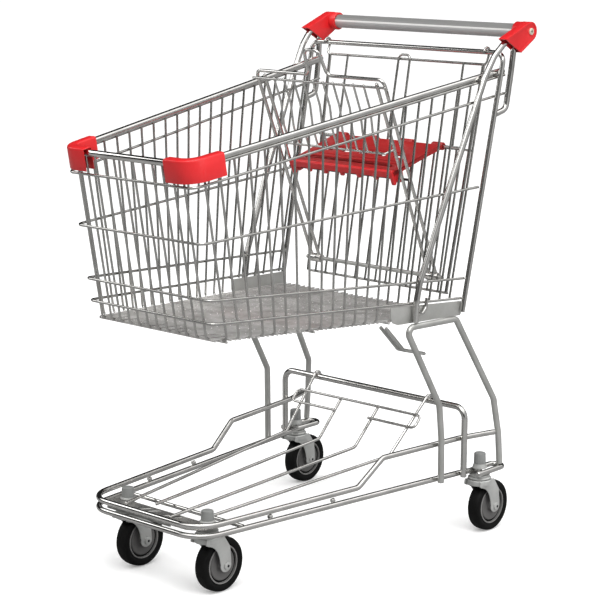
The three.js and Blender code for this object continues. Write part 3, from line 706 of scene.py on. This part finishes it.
def basket():
    half = [pt(rim_x(y), y, rim_z(y)) for y in (RIM_FRONT_Y, 345.5)]
    rim = Shape().tube([*mirrored(half)[::-1], *half], 12.5, 32, 20)
    piece("basket_rim_tube", rim, CHROME, "bright_chrome", "frame", ["basket_rim"])

    bands = Shape()
    for band in BANDS:
        points = band_points(band)
        if band is not BANDS[0]:
            bands.tube(points, band[3], 17, 12)
            continue
        # The top wire starts behind the bumpers, so it has a left and a right piece.
        for half in (points[4::-1], points[5:]):
            start = half[0].lerp(half[1], 0.28)
            bands.tube([start, *half[1:]], band[3], 0, 12)
    piece("basket_bands", bands, WIRE_CHROME, "bright_chrome", "frame", ["basket_front"])

    for side, sign in SIDES.items():
        uprights = Shape()
        for i in range(21):
            wire = side_upright(sign, -374 + 33.4 * i, -319.5 + 26.4 * i)
            uprights.tube(wire, UPRIGHT, 9, 10)
        name = f"basket_side_{side}"
        piece(f"{name}_wires", uprights, WIRE_CHROME, "bright_chrome", "frame", [name])

    front = Shape()
    for i in range(12):
        x = -130 + 260 * i / 11
        low_z, high_z, back_y = floor_z(-343) + 0.5, 764.5, -300
        corner = pt(x, front_y(low_z), low_z)
        top = pt(x, front_y(high_z), high_z)
        back = pt(x * 1.02, back_y, floor_z(back_y))
        front.tube([top, corner, back], UPRIGHT, 10, 10)
    piece("basket_front_wires", front, WIRE_CHROME, "bright_chrome", "frame")
    floor_mesh()


def side_upright(sign, top, bottom):
    """A side wire from y = top at the rim to y = bottom, where it turns in under the floor."""
    high = rim_z(top) - 5.5
    over_plate = bottom > 30
    low = band_z(BANDS[-1], bottom) - 3 if over_plate else floor_z(bottom) - 1
    points = [pt(sign * rim_x(top), top, high), pt(sign * wall_x(bottom, low), bottom, low)]
    if not over_plate:
        points.append(pt(sign * (wall_x(bottom, low) - 30), bottom, low))
    return points


def floor_mesh():
    """The fine floor: close lengthwise wires with close cross wires welded under them."""
    mesh = Shape()
    corner = 17
    nose_y = front_y(FLOOR_FRONT_Z)

    def edge(y):
        lap = max(0, corner - (y - nose_y))
        return wall_x(y, floor_z(y)) - 3 - (corner - math.sqrt(corner**2 - lap**2))

    rows = 56
    for i in range(rows):
        y = -338 + 566 * i / (rows - 1)
        z = floor_z(y) - 1.8
        mesh.tube([pt(-edge(y), y, z), pt(edge(y), y, z)], 3.2, 0, 6)
    columns = 34
    for i in range(columns + 1):
        t = 2 * i / columns - 1
        ends = [(-341, 1.2), (230, 1.2)]
        mesh.tube([pt(t * edge(y), y, floor_z(y) + lift) for y, lift in ends], 2.9, 0, 6)
    for y in (-316, -120, 60, 226):
        z = floor_z(y) - 5.0
        mesh.tube([pt(-edge(y), y, z), pt(edge(y), y, z)], 4.6, 0, 10)
    piece("basket_floor_mesh", mesh, MESH_CHROME, "bright_chrome", "frame", ["basket_floor"])


def bumpers():
    """The corner sleeves: a channel swept round the rim's corner, leaning with the basket."""
    length = 64
    # Each point is how far out from the rim's middle line and how far above the lower edge.
    section = [
        (11.4, 0), (11.4, 35.5), (10.2, 38.8), (7.4, 40), (-5.4, 40), (-7.4, 38.8),
        (-8.3, 35.5), (-8.3, 0), (-6.7, 0), (-6.7, 37.6), (9.7, 37.6), (9.7, 0),
    ]
    start = pt(98, RIM_FRONT_Y, 0)
    corner = pt(rim_x(RIM_FRONT_Y), RIM_FRONT_Y, 0)
    end = pt(rim_x(RIM_FRONT_Y + length), RIM_FRONT_Y + length, 0)
    line = fillet([start, corner, end], 32, 0.09)
    for side, sign in SIDES.items():
        stations = []
        for i, point in enumerate(line):
            ahead = line[min(i + 1, len(line) - 1)] - line[max(i - 1, 0)]
            out = pt(ahead.y, -ahead.x, 0).normalized()
            stations.append(bumper_station(sign, point, out))
        sleeve = Shape().sweep(stations, section)
        name = f"corner_bumper_{side}"
        piece(f"{name}_sleeve", sleeve, RED, "red_plastic", "frame", [name], 0.8, 50)


def bumper_station(sign, point, out):
    rim_height = 30.5

    def place(offset, height):
        spot = point + out * offset
        rise = height - rim_height
        z = RIM_FRONT_Z + rise + RIM_SLOPE * (spot.y - RIM_FRONT_Y)
        return pt(sign * spot.x, spot.y - LEAN * rise, z)

    return place


# ---------------------------------------------------------------- gate and seat


def on_gate(x, down, forward=0.0):
    """down runs from the hinge along the gate, forward is square to it, from its wires' middle."""
    f = forward - 4
    y = HINGE.y - math.sin(GATE_LEAN) * down - math.cos(GATE_LEAN) * f
    z = HINGE.z - math.cos(GATE_LEAN) * down + math.sin(GATE_LEAN) * f
    return pt(x, y, z)


PIVOT_DOWN, PIVOT_FORWARD = 431, 11.5
AXLE_DOWN, AXLE_FORWARD = 184, 12.5
PIVOT = on_gate(0, PIVOT_DOWN, PIVOT_FORWARD)
SEAT_AXLE = on_gate(0, AXLE_DOWN, AXLE_FORWARD)
GATE_TOP, GATE_BOTTOM = 23, 459


def gate_half(down):
    return 193 - 0.037 * down


def over_hinge(x, foot, down):
    """A wire end that rises from the gate and hooks over the hinge bar."""
    points = [on_gate(foot, down + 4), on_gate(x, down - 5)]
    for i in range(13):
        a = math.radians(-8 + 17.5 * i)
        points.append(pt(x, HINGE.y + 8.3 * math.cos(a), HINGE.z + 8.3 * math.sin(a)))
    return points


def gate():
    wires = Shape()
    for sign in SIDES.values():
        edge = [on_gate(sign * gate_half(d), d) for d in (GATE_TOP, GATE_BOTTOM)]
        wires.tube(edge, 6.5, 0, 12)
        foot = gate_half(GATE_TOP)
        wires.tube(over_hinge(sign * (foot + 7), sign * foot, GATE_TOP), 4.8, 0, 10)
        wires.tube([on_gate(sign * 145, 22), on_gate(sign * 145, 188)], 4.4, 0, 10)
    loop = [on_gate(-15, 188), on_gate(-14, 15), on_gate(14, 15), on_gate(15, 188)]
    wires.tube(loop, 4.6, 9, 10)
    for down, diameter in ((GATE_TOP, 5), (186, 4.4), (GATE_BOTTOM, 5)):
        half = gate_half(down) + 1.5
        behind = -(diameter + 4.4) / 2 + 0.4
        wires.tube([on_gate(-half, down, behind), on_gate(half, down, behind)], diameter)
    for i in range(13):
        x = -156 + 26 * i
        wires.tube([on_gate(x, 184), on_gate(x, 461)], 4.3, 0, 10)
    piece("gate_wires", wires, WIRE_CHROME, "bright_chrome", "gate", ["gate_panel"])

    bar = gate_rod(PIVOT_DOWN, PIVOT_FORWARD, 8, 16)
    piece("seat_back_bar", bar, SATIN, "satin_steel", "gate", ["seat_back_pivot_bar"])
    axle = gate_rod(AXLE_DOWN, AXLE_FORWARD, 5, 12)
    piece("seat_axle_rod", axle, CHROME, "bright_chrome", "gate", ["seat_axle"])


def gate_rod(down, forward, diameter, sides):
    """A straight rod between the gate's two side wires."""
    half = gate_half(down) - 3.8
    ends = [on_gate(-half, down, forward), on_gate(half, down, forward)]
    return Shape().tube(ends, diameter, 0, sides)


def on_back(x, up, forward=0.0):
    """up runs from the pivot along the seat back, forward is square to it."""
    y = PIVOT.y - math.sin(BACK_LEAN) * up - math.cos(BACK_LEAN) * forward
    z = PIVOT.z + math.cos(BACK_LEAN) * up - math.sin(BACK_LEAN) * forward
    return pt(x, y, z)


def seat_back():
    back = Shape()
    outer = [on_back(158, 2), on_back(158, 416.5), on_back(24, 416.5), on_back(17, 468)]
    back.tube([*outer, *mirrored(outer)[::-1]], 6.5, 13, 14)
    for sign in SIDES.values():
        back.tube([on_back(sign * 139, 2), on_back(sign * 139, 409)], 6.5, 0, 12)
        eye = [(4.9, -14), (7.9, -14), (8.4, -13), (8.4, 13), (7.9, 14), (4.9, 14), (4.9, -14)]
        back.revolve(eye, pt(sign * 148.5, PIVOT.y, PIVOT.z), "X", 24)
    uprights, spacing, layer, bulge = 10, 24.7, 5.0, 15
    for i in range(uprights):
        x = spacing * (i - (uprights - 1) / 2)
        heights = ((270, bulge), (310, bulge), (354, layer), (407, layer))
        back.tube([on_back(x, up, forward) for up, forward in heights], 4.2, 20, 10)
    back.tube([on_back(-164, 405, layer + 3.8), on_back(166, 405, layer + 3.8)], 4.6)
    low = [on_back(139, 273, 2), on_back(131, 273, 18.6)]
    back.tube([*mirrored(low), *low[::-1]], 4.4, 4, 10)
    piece("seat_back_frame", back, CHROME, "bright_chrome", "seat_back", ["seat_back"])


SEAT_FALL = math.radians(16.2)


def on_seat(x, out, up):
    """out runs from the seat's axle to its front edge, up is square to the plate."""
    y = SEAT_AXLE.y - math.cos(SEAT_FALL) * out - math.sin(SEAT_FALL) * up
    z = SEAT_AXLE.z - math.sin(SEAT_FALL) * out + math.cos(SEAT_FALL) * up
    return pt(x, y, z)


def seat():
    """The moulded seat: a slotted plate and its lip, ribs, hinge barrels and rod clips."""
    lip = 153
    half = 133
    outline = [(7, 3.2), (lip - 8, 3.2), (lip - 8, 8), (lip - 14, 6), (7, 6)]
    roll = [
        (lip - 8, 3.2), (lip - 5, 3.2), (lip - 5, -5), (lip - 1, -5.5), (lip, 6.5),
        (lip - 2.5, 8.5), (lip - 8, 8),
    ]
    place = lambda u, v, h: on_seat(h * (1 - 0.0002 * u), u, v)
    plate = Shape().prism(outline, place, -half, half)

    def slot(out, width, floor, low, high):
        box = [(out, floor), (out + width, floor), (out + width, 9), (out, 9)]
        return Shape().prism(box, place, low, high)

    slots = [slot(72, 12, 1, x - 12, x + 12) for x in (-45, 0, 45, 90, -90)]
    slots += [slot(62, 3.5, 4.8, x - 25, x + 25) for x in (-52, 0, 52)]
    slots += [slot(out, 2.4, 4.9, -112, 112) for out in (100, 112, 124)]
    # The plate, ribs and barrel take the red painted darker for shade; the lip and clips keep the
    # plain red.
    name = "seat_plate_moulding"
    piece(name, plate, SEAT_RED_PAINTED_SHADE, "red_plastic", "seat", ["seat_plate"], 0.8, 45, slots)
    edge = Shape().prism(roll, place, -half, half)
    piece("seat_plate_lip", edge, RED, "red_plastic", "seat", (), 0.8, 45)

    ribs = Shape()
    for i in range(9):
        x = -124 + 31 * i
        rib = [(8, 3.3), (8, -4.5), (70, -2), (lip - 20, -1), (lip - 20, 3.3)]
        ribs.prism(rib, place, x - 1, x + 1)
    for sign in (-1, 1):
        edge = [(8, 5.5), (8, -3.5), (60, -2), (lip - 14, -2.5), (lip - 6, -2.5), (lip - 6, 5.5)]
        ribs.prism(edge, place, sign * (half - 2), sign * half)
    piece("seat_plate_ribs", ribs, SEAT_RED_PAINTED_SHADE, "red_plastic", "seat")

    barrel = Shape()
    for low, high in ((-half, -108), (-60, -30), (30, 60), (108, half)):
        outside = [(3.4, low), (7, low), (7.6, low + 1), (7.6, high - 1), (7, high), (3.4, high)]
        barrel.revolve([*outside, outside[0]], SEAT_AXLE, "X", 24)
    piece("seat_plate_barrel", barrel, SEAT_RED_PAINTED_SHADE, "red_plastic", "seat")

    clips = Shape()
    for i in range(7):
        x = -128.5 + 257 / 6 * i
        reach = -21 if i in (0, 6) else -14
        clip = [
            (lip - 9, 3), (lip - 11, reach + 5), (lip - 9, reach),
            (lip - 4, reach), (lip - 1.5, -5), (lip - 1.5, 3),
        ]
        clips.prism(clip, place, x - 4, x + 4)
    for sign in (-1, 1):
        arm = [(121, 3), (122, -18), (126, -21), (136, -21), (lip - 6, -8), (lip - 6, 3)]
        clips.prism(arm, place, sign * 124, sign * half)
    piece("seat_plate_clips", clips, RED, "red_plastic", "seat", (), 1.0, 45)

    rod = Shape().tube([on_seat(x, 130, -15) for x in (-152, 152)], 5)
    piece("seat_front_pin", rod, DARK_STEEL_AND_SHADE, "dark_steel", "seat", ["seat_front_rod"])


# ---------------------------------------------------------------- lower rack


def lower_rack():
    """The wire rack: four long rods that bend up to the rear hoop, two of them hooked over it."""
    bend_y, bend_z, rod, hook = 141, 162, 5.8, 9.8
    rack = Shape()
    rise = lambda x, y: pt(x, y, bend_z + 1.01 * (y - bend_y))
    for sign, tip in ((1, pt(92, -296, 136.4)), (-1, pt(-76, -347, 135.2))):
        line = fillet([tip, rise(sign * 133, bend_y), rise(sign * 143, 232)], 12)
        for i in range(13):
            a = math.radians(150 - 16 * i)
            y, z = REAR_HOOP_Y + hook * math.cos(a), REAR_HOOP_Z + hook * math.sin(a)
            line.append(pt(sign * 144, y, z))
        rack.tube(line, rod, 0, 12)
    for sign, tip in ((1, pt(40, -350, 135.2)), (-1, pt(-31, -314, 136))):
        rack.tube([tip, rise(sign * 46, bend_y), rise(sign * 48, 207)], rod, 12, 12)
    lift = pt(0, -3.5, 3.5)
    half = [rise(158, 207), rise(158, 187), rise(42, 187)]
    loop = [p + lift for p in [*mirrored(half)[::-1], *half]]
    rack.tube(loop, 5.2, 9.5, 12)
    piece("lower_rack_wires", rack, CHROME, "bright_chrome", "rack", ["lower_rack"])


# ---------------------------------------------------------------- casters

# Where each stem stands, the faces it is clamped between, its collar's height and its cap's top.
STEMS = {"front": (101.7, -317.0), "rear": (240.0, 284.0)}
SEAT_LOW = {"front": 129.1, "rear": 116.9}
SEAT_TOP = {"front": 132.3, "rear": 129.4}
COLLAR = {"front": 4.0, "rear": 9.0}
CAP_TOP = {"front": 154, "rear": 159.5}
AXLE_Z = 50.0
TRAIL = 28.0
FORK_OUT = 20.2  # half the width over the fork's cheeks, where the axle's heads sit


def fork_outline():
    """One cheek of the fork: a rounded foot at the axle that sweeps up and forward to the crown."""
    points = [(-21, 107.6), (-23, 98)]
    start, bow, end = pt(-23, 96, 0), pt(8, 93, 0), pt(12.5, 57, 0)
    for i in range(1, 11):
        t = i / 10
        spot = start * (1 - t) ** 2 + bow * (2 * t * (1 - t)) + end * t**2
        points.append((spot.x, spot.y))
    foot = pt(26.5, AXLE_Z, 0)
    for i in range(15):
        a = math.radians(160 + 200 * i / 14)
        points.append((foot.x + 13.2 * math.cos(a), foot.y + 11.5 * math.sin(a)))
    points += [(39.2, 60), (37, 84), (21, 107.6)]
    return points


def fork(end, side, x, y):
    """Two cheeks, a skirt round the front half and the round crown they hang from."""
    name, body, radius = f"caster_fork_{end}_{side}", f"caster_{end}_{side}", 24
    shape = Shape()
    outline = fork_outline()
    for sign in (-1, 1):
        place = lambda u, v, h, s=sign: pt(x + s * h, y + u, v)
        shape.prism(outline, place, 17.6, 19.9)
    turns = [math.radians(-190 + 10 * i) for i in range(21)]
    outer = [(radius * math.cos(a), radius * math.sin(a)) for a in turns]
    inner = [(u * 0.9, v * 0.9) for u, v in outer[::-1]]
    shape.prism([*outer, *inner], lambda u, v, h: pt(x + u, y + v, h), 97.5, 107)
    piece(f"{name}_body", shape, ZINC, "zinc_steel", body, [name], 0.9, 50)
    profile = [
        (6.4, 105.2), (radius, 105.2), (radius, 106.4), (22.4, 107.9), (6.4, 107.9), (6.4, 105.2),
    ]
    crown = Shape().revolve(profile, pt(x, y, 0), "Z", 40)
    piece(f"{name}_crown", crown, ZINC, "zinc_steel", body)


def stem(end, side, x, y):
    """The turned stem: ball race, neck, washer and nut on one pin."""
    low, top, collar = SEAT_LOW[end], SEAT_TOP[end], SEAT_TOP[end] + COLLAR[end]
    profile = [
        (0, 102), (4.8, 102), (4.8, 108.4), (20.5, 108.4), (22.4, 110), (22.4, 111.5),
        (20, 113), (17.5, 113.4), (17.5, 115), (19.5, 115.6), (19.5, min(low, 118.5)),
        (5.2, min(low, 118.6)), (5.2, top + 0.4), (14, top + 0.4), (14, top + 2.4),
        (11.4, collar - 0.4), (11.4, collar), (9, collar),
        (5, collar + 4), (5, collar + 8), (0, collar + 8),
    ]
    turned = Shape().revolve(profile, pt(x, y, 0), "Z", 40)
    name = f"caster_stem_{end}_{side}"
    piece(f"{name}_turned", turned, ZINC, "zinc_steel", "frame", [name], 0, 35)
    cap = stem_cap(pt(x, y, 0), collar + 0.4, CAP_TOP[end])
    name = f"stem_cap_{end}_{side}"
    piece(f"{name}_moulded", cap, CAP_GREY, "grey_plastic", "frame", [name], 0, 35)


def stem_cap(centre, base, high):
    """A fluted plastic cap, hollow from below."""
    flutes = 20
    count = flutes * 4
    cap = Shape()
    rings = []
    for z, r in ((base, 10.4), (base, 11.6), (high - 2.2, 11.2), (high - 0.6, 10.5), (high, 9)):
        depth = 0.35 if z < high - 1 and r > 10.6 else 0
        ring = []
        for i in range(count):
            a = 2 * math.pi * i / count
            ring.append(centre + around("Z", r - depth * (1 - math.cos(a * flutes)), a, z))
        rings.append(cap.ring(ring))
    for first, second in zip(rings, rings[1:]):
        cap.bridge(first, second)
    cap.faces.append(tuple(rings[-1]))
    last = rings[0]
    for r, z in ((10.1, base), (10.1, high - 6), (5.8, high - 6)):
        turns = [2 * math.pi * i / count for i in range(count)]
        inside = cap.ring([centre + around("Z", r, a, z) for a in turns])
        cap.bridge(inside, last)
        last = inside
    cap.faces.append(tuple(reversed(last)))
    return cap


def wheel(end, side, x, y):
    """The turned pieces of one wheel, and the axle with the painted-shade discs on its heads, which
    stay with the fork.
    """
    centre = pt(x, y + TRAIL, AXLE_Z)
    spins, swivels = f"wheel_{end}_{side}", f"caster_{end}_{side}"

    def turned(name, profile, material, slot, body, replaces=(), segments=64, smooth=35):
        shape = Shape().revolve(profile, centre, "X", segments)
        piece(name, shape, material, slot, body, replaces, 0, smooth)

    name = f"tyre_{end}_{side}"
    half = [(35.4, 10.2), (37.6, 11.4), (41.5, 12.9), (46, 12.9)]
    half += [(48.6, 10.8), (49.6, 7.5), (49.95, 3)]
    profile = [*[(r, -a) for r, a in half], *half[::-1], (35.4, -10.2)]
    turned(f"{name}_tread", profile, RUBBER_AND_GROOVE_SHADE, "black_rubber", spins, [name], 72, 60)

    name = f"wheel_hub_{end}_{side}"
    half = [(5.6, 15.6), (10.4, 15.6), (11.2, 14.8), (12.5, 9.6), (21, 8.8), (28, 9.4), (29.2, 8.4)]
    profile = [*half, *[(r, -a) for r, a in half[::-1]], half[0]]
    turned(f"{name}_disc", profile, HUB_GREY, "hub_plastic", spins, [name])
    # The groove between the hub disc and its ring is hub plastic in the black tyre colour: painted
    # shade for the recess.
    profile = [(29, -6.8), (35.5, -6.8), (35.5, 6.8), (29, 6.8), (29, -6.8)]
    turned(f"{name}_groove_shade", profile, RUBBER_AND_GROOVE_SHADE, "hub_plastic", spins)
    half = [(33.2, -11.2), (35.2, -11.2), (35.6, -10.4)]
    profile = [*half, *[(r, -a) for r, a in half[::-1]], half[0]]
    turned(f"{name}_ring", profile, RING_GREY, "hub_plastic", spins)

    name = f"wheel_axle_{end}_{side}"
    half = [(0, -FORK_OUT - 3.4), (4.2, -FORK_OUT - 3.4), (7.2, -FORK_OUT - 2.2)]
    half += [(7.2, -FORK_OUT), (4.9, -FORK_OUT)]
    profile = [*half, *[(r, -a) for r, a in half[::-1]]]
    turned(f"{name}_bolt", profile, ZINC, "zinc_steel", swivels, [name], 24)
    # Dark discs on the axle's two heads: painted shade that stands in for the holes in them.
    socket_shades = Shape()
    for sign in (-1, 1):
        low, high = sign * (FORK_OUT + 3), sign * (FORK_OUT + 3.5)
        socket_shades.revolve([(0, low), (2.6, low), (2.6, high), (0, high)], centre, "X", 20)
    piece(f"{name}_sockets", socket_shades, DARK_STEEL_AND_SHADE, "zinc_steel", swivels, (), 0, 35)


def casters():
    for end, (across, y) in STEMS.items():
        for side, sign in SIDES.items():
            x = sign * across
            fork(end, side, x, y)
            stem(end, side, x, y)
            wheel(end, side, x, y)


chassis()
legs_and_posts()
handle()
basket()
bumpers()
gate()
seat_back()
seat()
lower_rack()
casters()


# ---------------------------------------------------------------- studio


def sky_panel(nodes, links, direction, colour, towards, tone, start, end):
    """Hangs a broad flag or reflector in the sky, where only the cart's own surfaces see it."""
    facing = nodes.new("ShaderNodeVectorMath")
    facing.operation = "DOT_PRODUCT"
    facing.inputs[1].default_value = towards
    links.new(direction, facing.inputs[0])
    cover = ramp(nodes, links, facing.outputs["Value"], 0.0, 1.0, start, end)
    return mix_over(nodes, links, cover, colour, (tone, tone, tone))


def paper_floor():
    """A pale sheet that the camera sees brighter than the cart does."""
    floor = Shape()
    reach = 60000
    corners = ((-reach, -reach), (reach, -reach), (reach, reach), (-reach, reach))
    floor.faces.append(floor.ring([pt(x, y, 0) for x, y in corners]))
    ground = bpy.data.objects.new("floor", floor.mesh("floor"))
    bpy.context.scene.collection.objects.link(ground)
    material, nodes, links, shader = node_material("floor_paper")
    shader.inputs["Roughness"].default_value = 0.9
    shader.inputs["Specular IOR Level"].default_value = 0.1
    seen = nodes.new("ShaderNodeLightPath").outputs["Is Camera Ray"]
    tone = mix_colour(nodes, links, seen, (0.30, 0.30, 0.30), (0.93, 0.93, 0.93))
    links.new(tone, shader.inputs["Base Color"])
    shader.inputs["Emission Color"].default_value = (1, 1, 0.99, 1)
    links.new(ramp(nodes, links, seen, 0.0, 0.25, 0.0, 1.0), shader.inputs["Emission Strength"])
    ground.data.materials.append(material)


def sky():
    """A dark horizon under a bright ceiling; the camera itself sees plain white."""
    world = bpy.data.worlds.new("studio")
    bpy.context.scene.world = world
    world.use_nodes = True
    nodes, links = world.node_tree.nodes, world.node_tree.links
    background = nodes["Background"]
    where = nodes.new("ShaderNodeTexCoord")
    split = nodes.new("ShaderNodeSeparateXYZ")
    links.new(where.outputs["Generated"], split.inputs["Vector"])
    bands = nodes.new("ShaderNodeValToRGB")
    links.new(split.outputs["Z"], bands.inputs["Fac"])
    stops = [(0.0, 0.12), (0.10, 0.08), (0.30, 0.16), (0.45, 0.75), (0.62, 1.65), (1.0, 2.0)]
    marks = bands.color_ramp.elements
    marks[0].position = stops[0][0]
    marks[1].position = stops[-1][0]
    for position, _ in stops[1:-1]:
        marks.new(position)
    for mark, (_, level) in zip(marks, stops):
        mark.color = (level, level, level, 1)
    direction = where.outputs["Generated"]
    colour = bands.outputs["Color"]
    reflector, flag = (0.96, 0.28, 0.0), (-0.92, 0.39, 0.0)
    colour = sky_panel(nodes, links, direction, colour, reflector, 0.6, 0.55, 0.85)
    colour = sky_panel(nodes, links, direction, colour, flag, 0.02, 0.05, 0.4)
    seen = nodes.new("ShaderNodeLightPath").outputs["Is Camera Ray"]
    links.new(mix_over(nodes, links, seen, colour, (1, 1, 1)), background.inputs["Color"])


def lamps():
    for name, spot, target, size, power, mirrored_in_metal in (
        ("key", (1.2, -1.6, 3.2), (0, 0, 0.5), 1.6, 34, True),
        ("side", (3.2, 0.0, 1.3), (0, 0, 0.6), 1.5, 42, False),
        ("fill", (-2.6, -1.2, 2.2), (0, 0, 0.5), 1.6, 20, True),
        ("rim", (-0.6, 2.8, 2.6), (0, 0, 0.6), 2.0, 20, False),
    ):
        lamp = bpy.data.lights.new(name, "AREA")
        lamp.size = size
        lamp.energy = power
        holder = bpy.data.objects.new(name, lamp)
        bpy.context.scene.collection.objects.link(holder)
        holder.visible_glossy = mirrored_in_metal
        holder.location = spot
        aim = Vector(target) - Vector(spot)
        holder.rotation_euler = aim.to_track_quat("-Z", "Y").to_euler()


def photo_camera():
    """The camera fitted to the photo."""
    lens = bpy.data.cameras.new("camera")
    lens.lens = 116.72
    lens.sensor_width = 36
    lens.clip_end = 300
    camera = bpy.data.objects.new("camera", lens)
    bpy.context.scene.collection.objects.link(camera)
    camera.location = (2.4079, -2.6127, 1.1869)
    camera.rotation_euler = [math.radians(a) for a in (78.541, -0.151, 42.333)]
    bpy.context.scene.camera = camera
    bpy.context.scene.view_settings.view_transform = "Standard"


paper_floor()
sky()
lamps()
photo_camera()
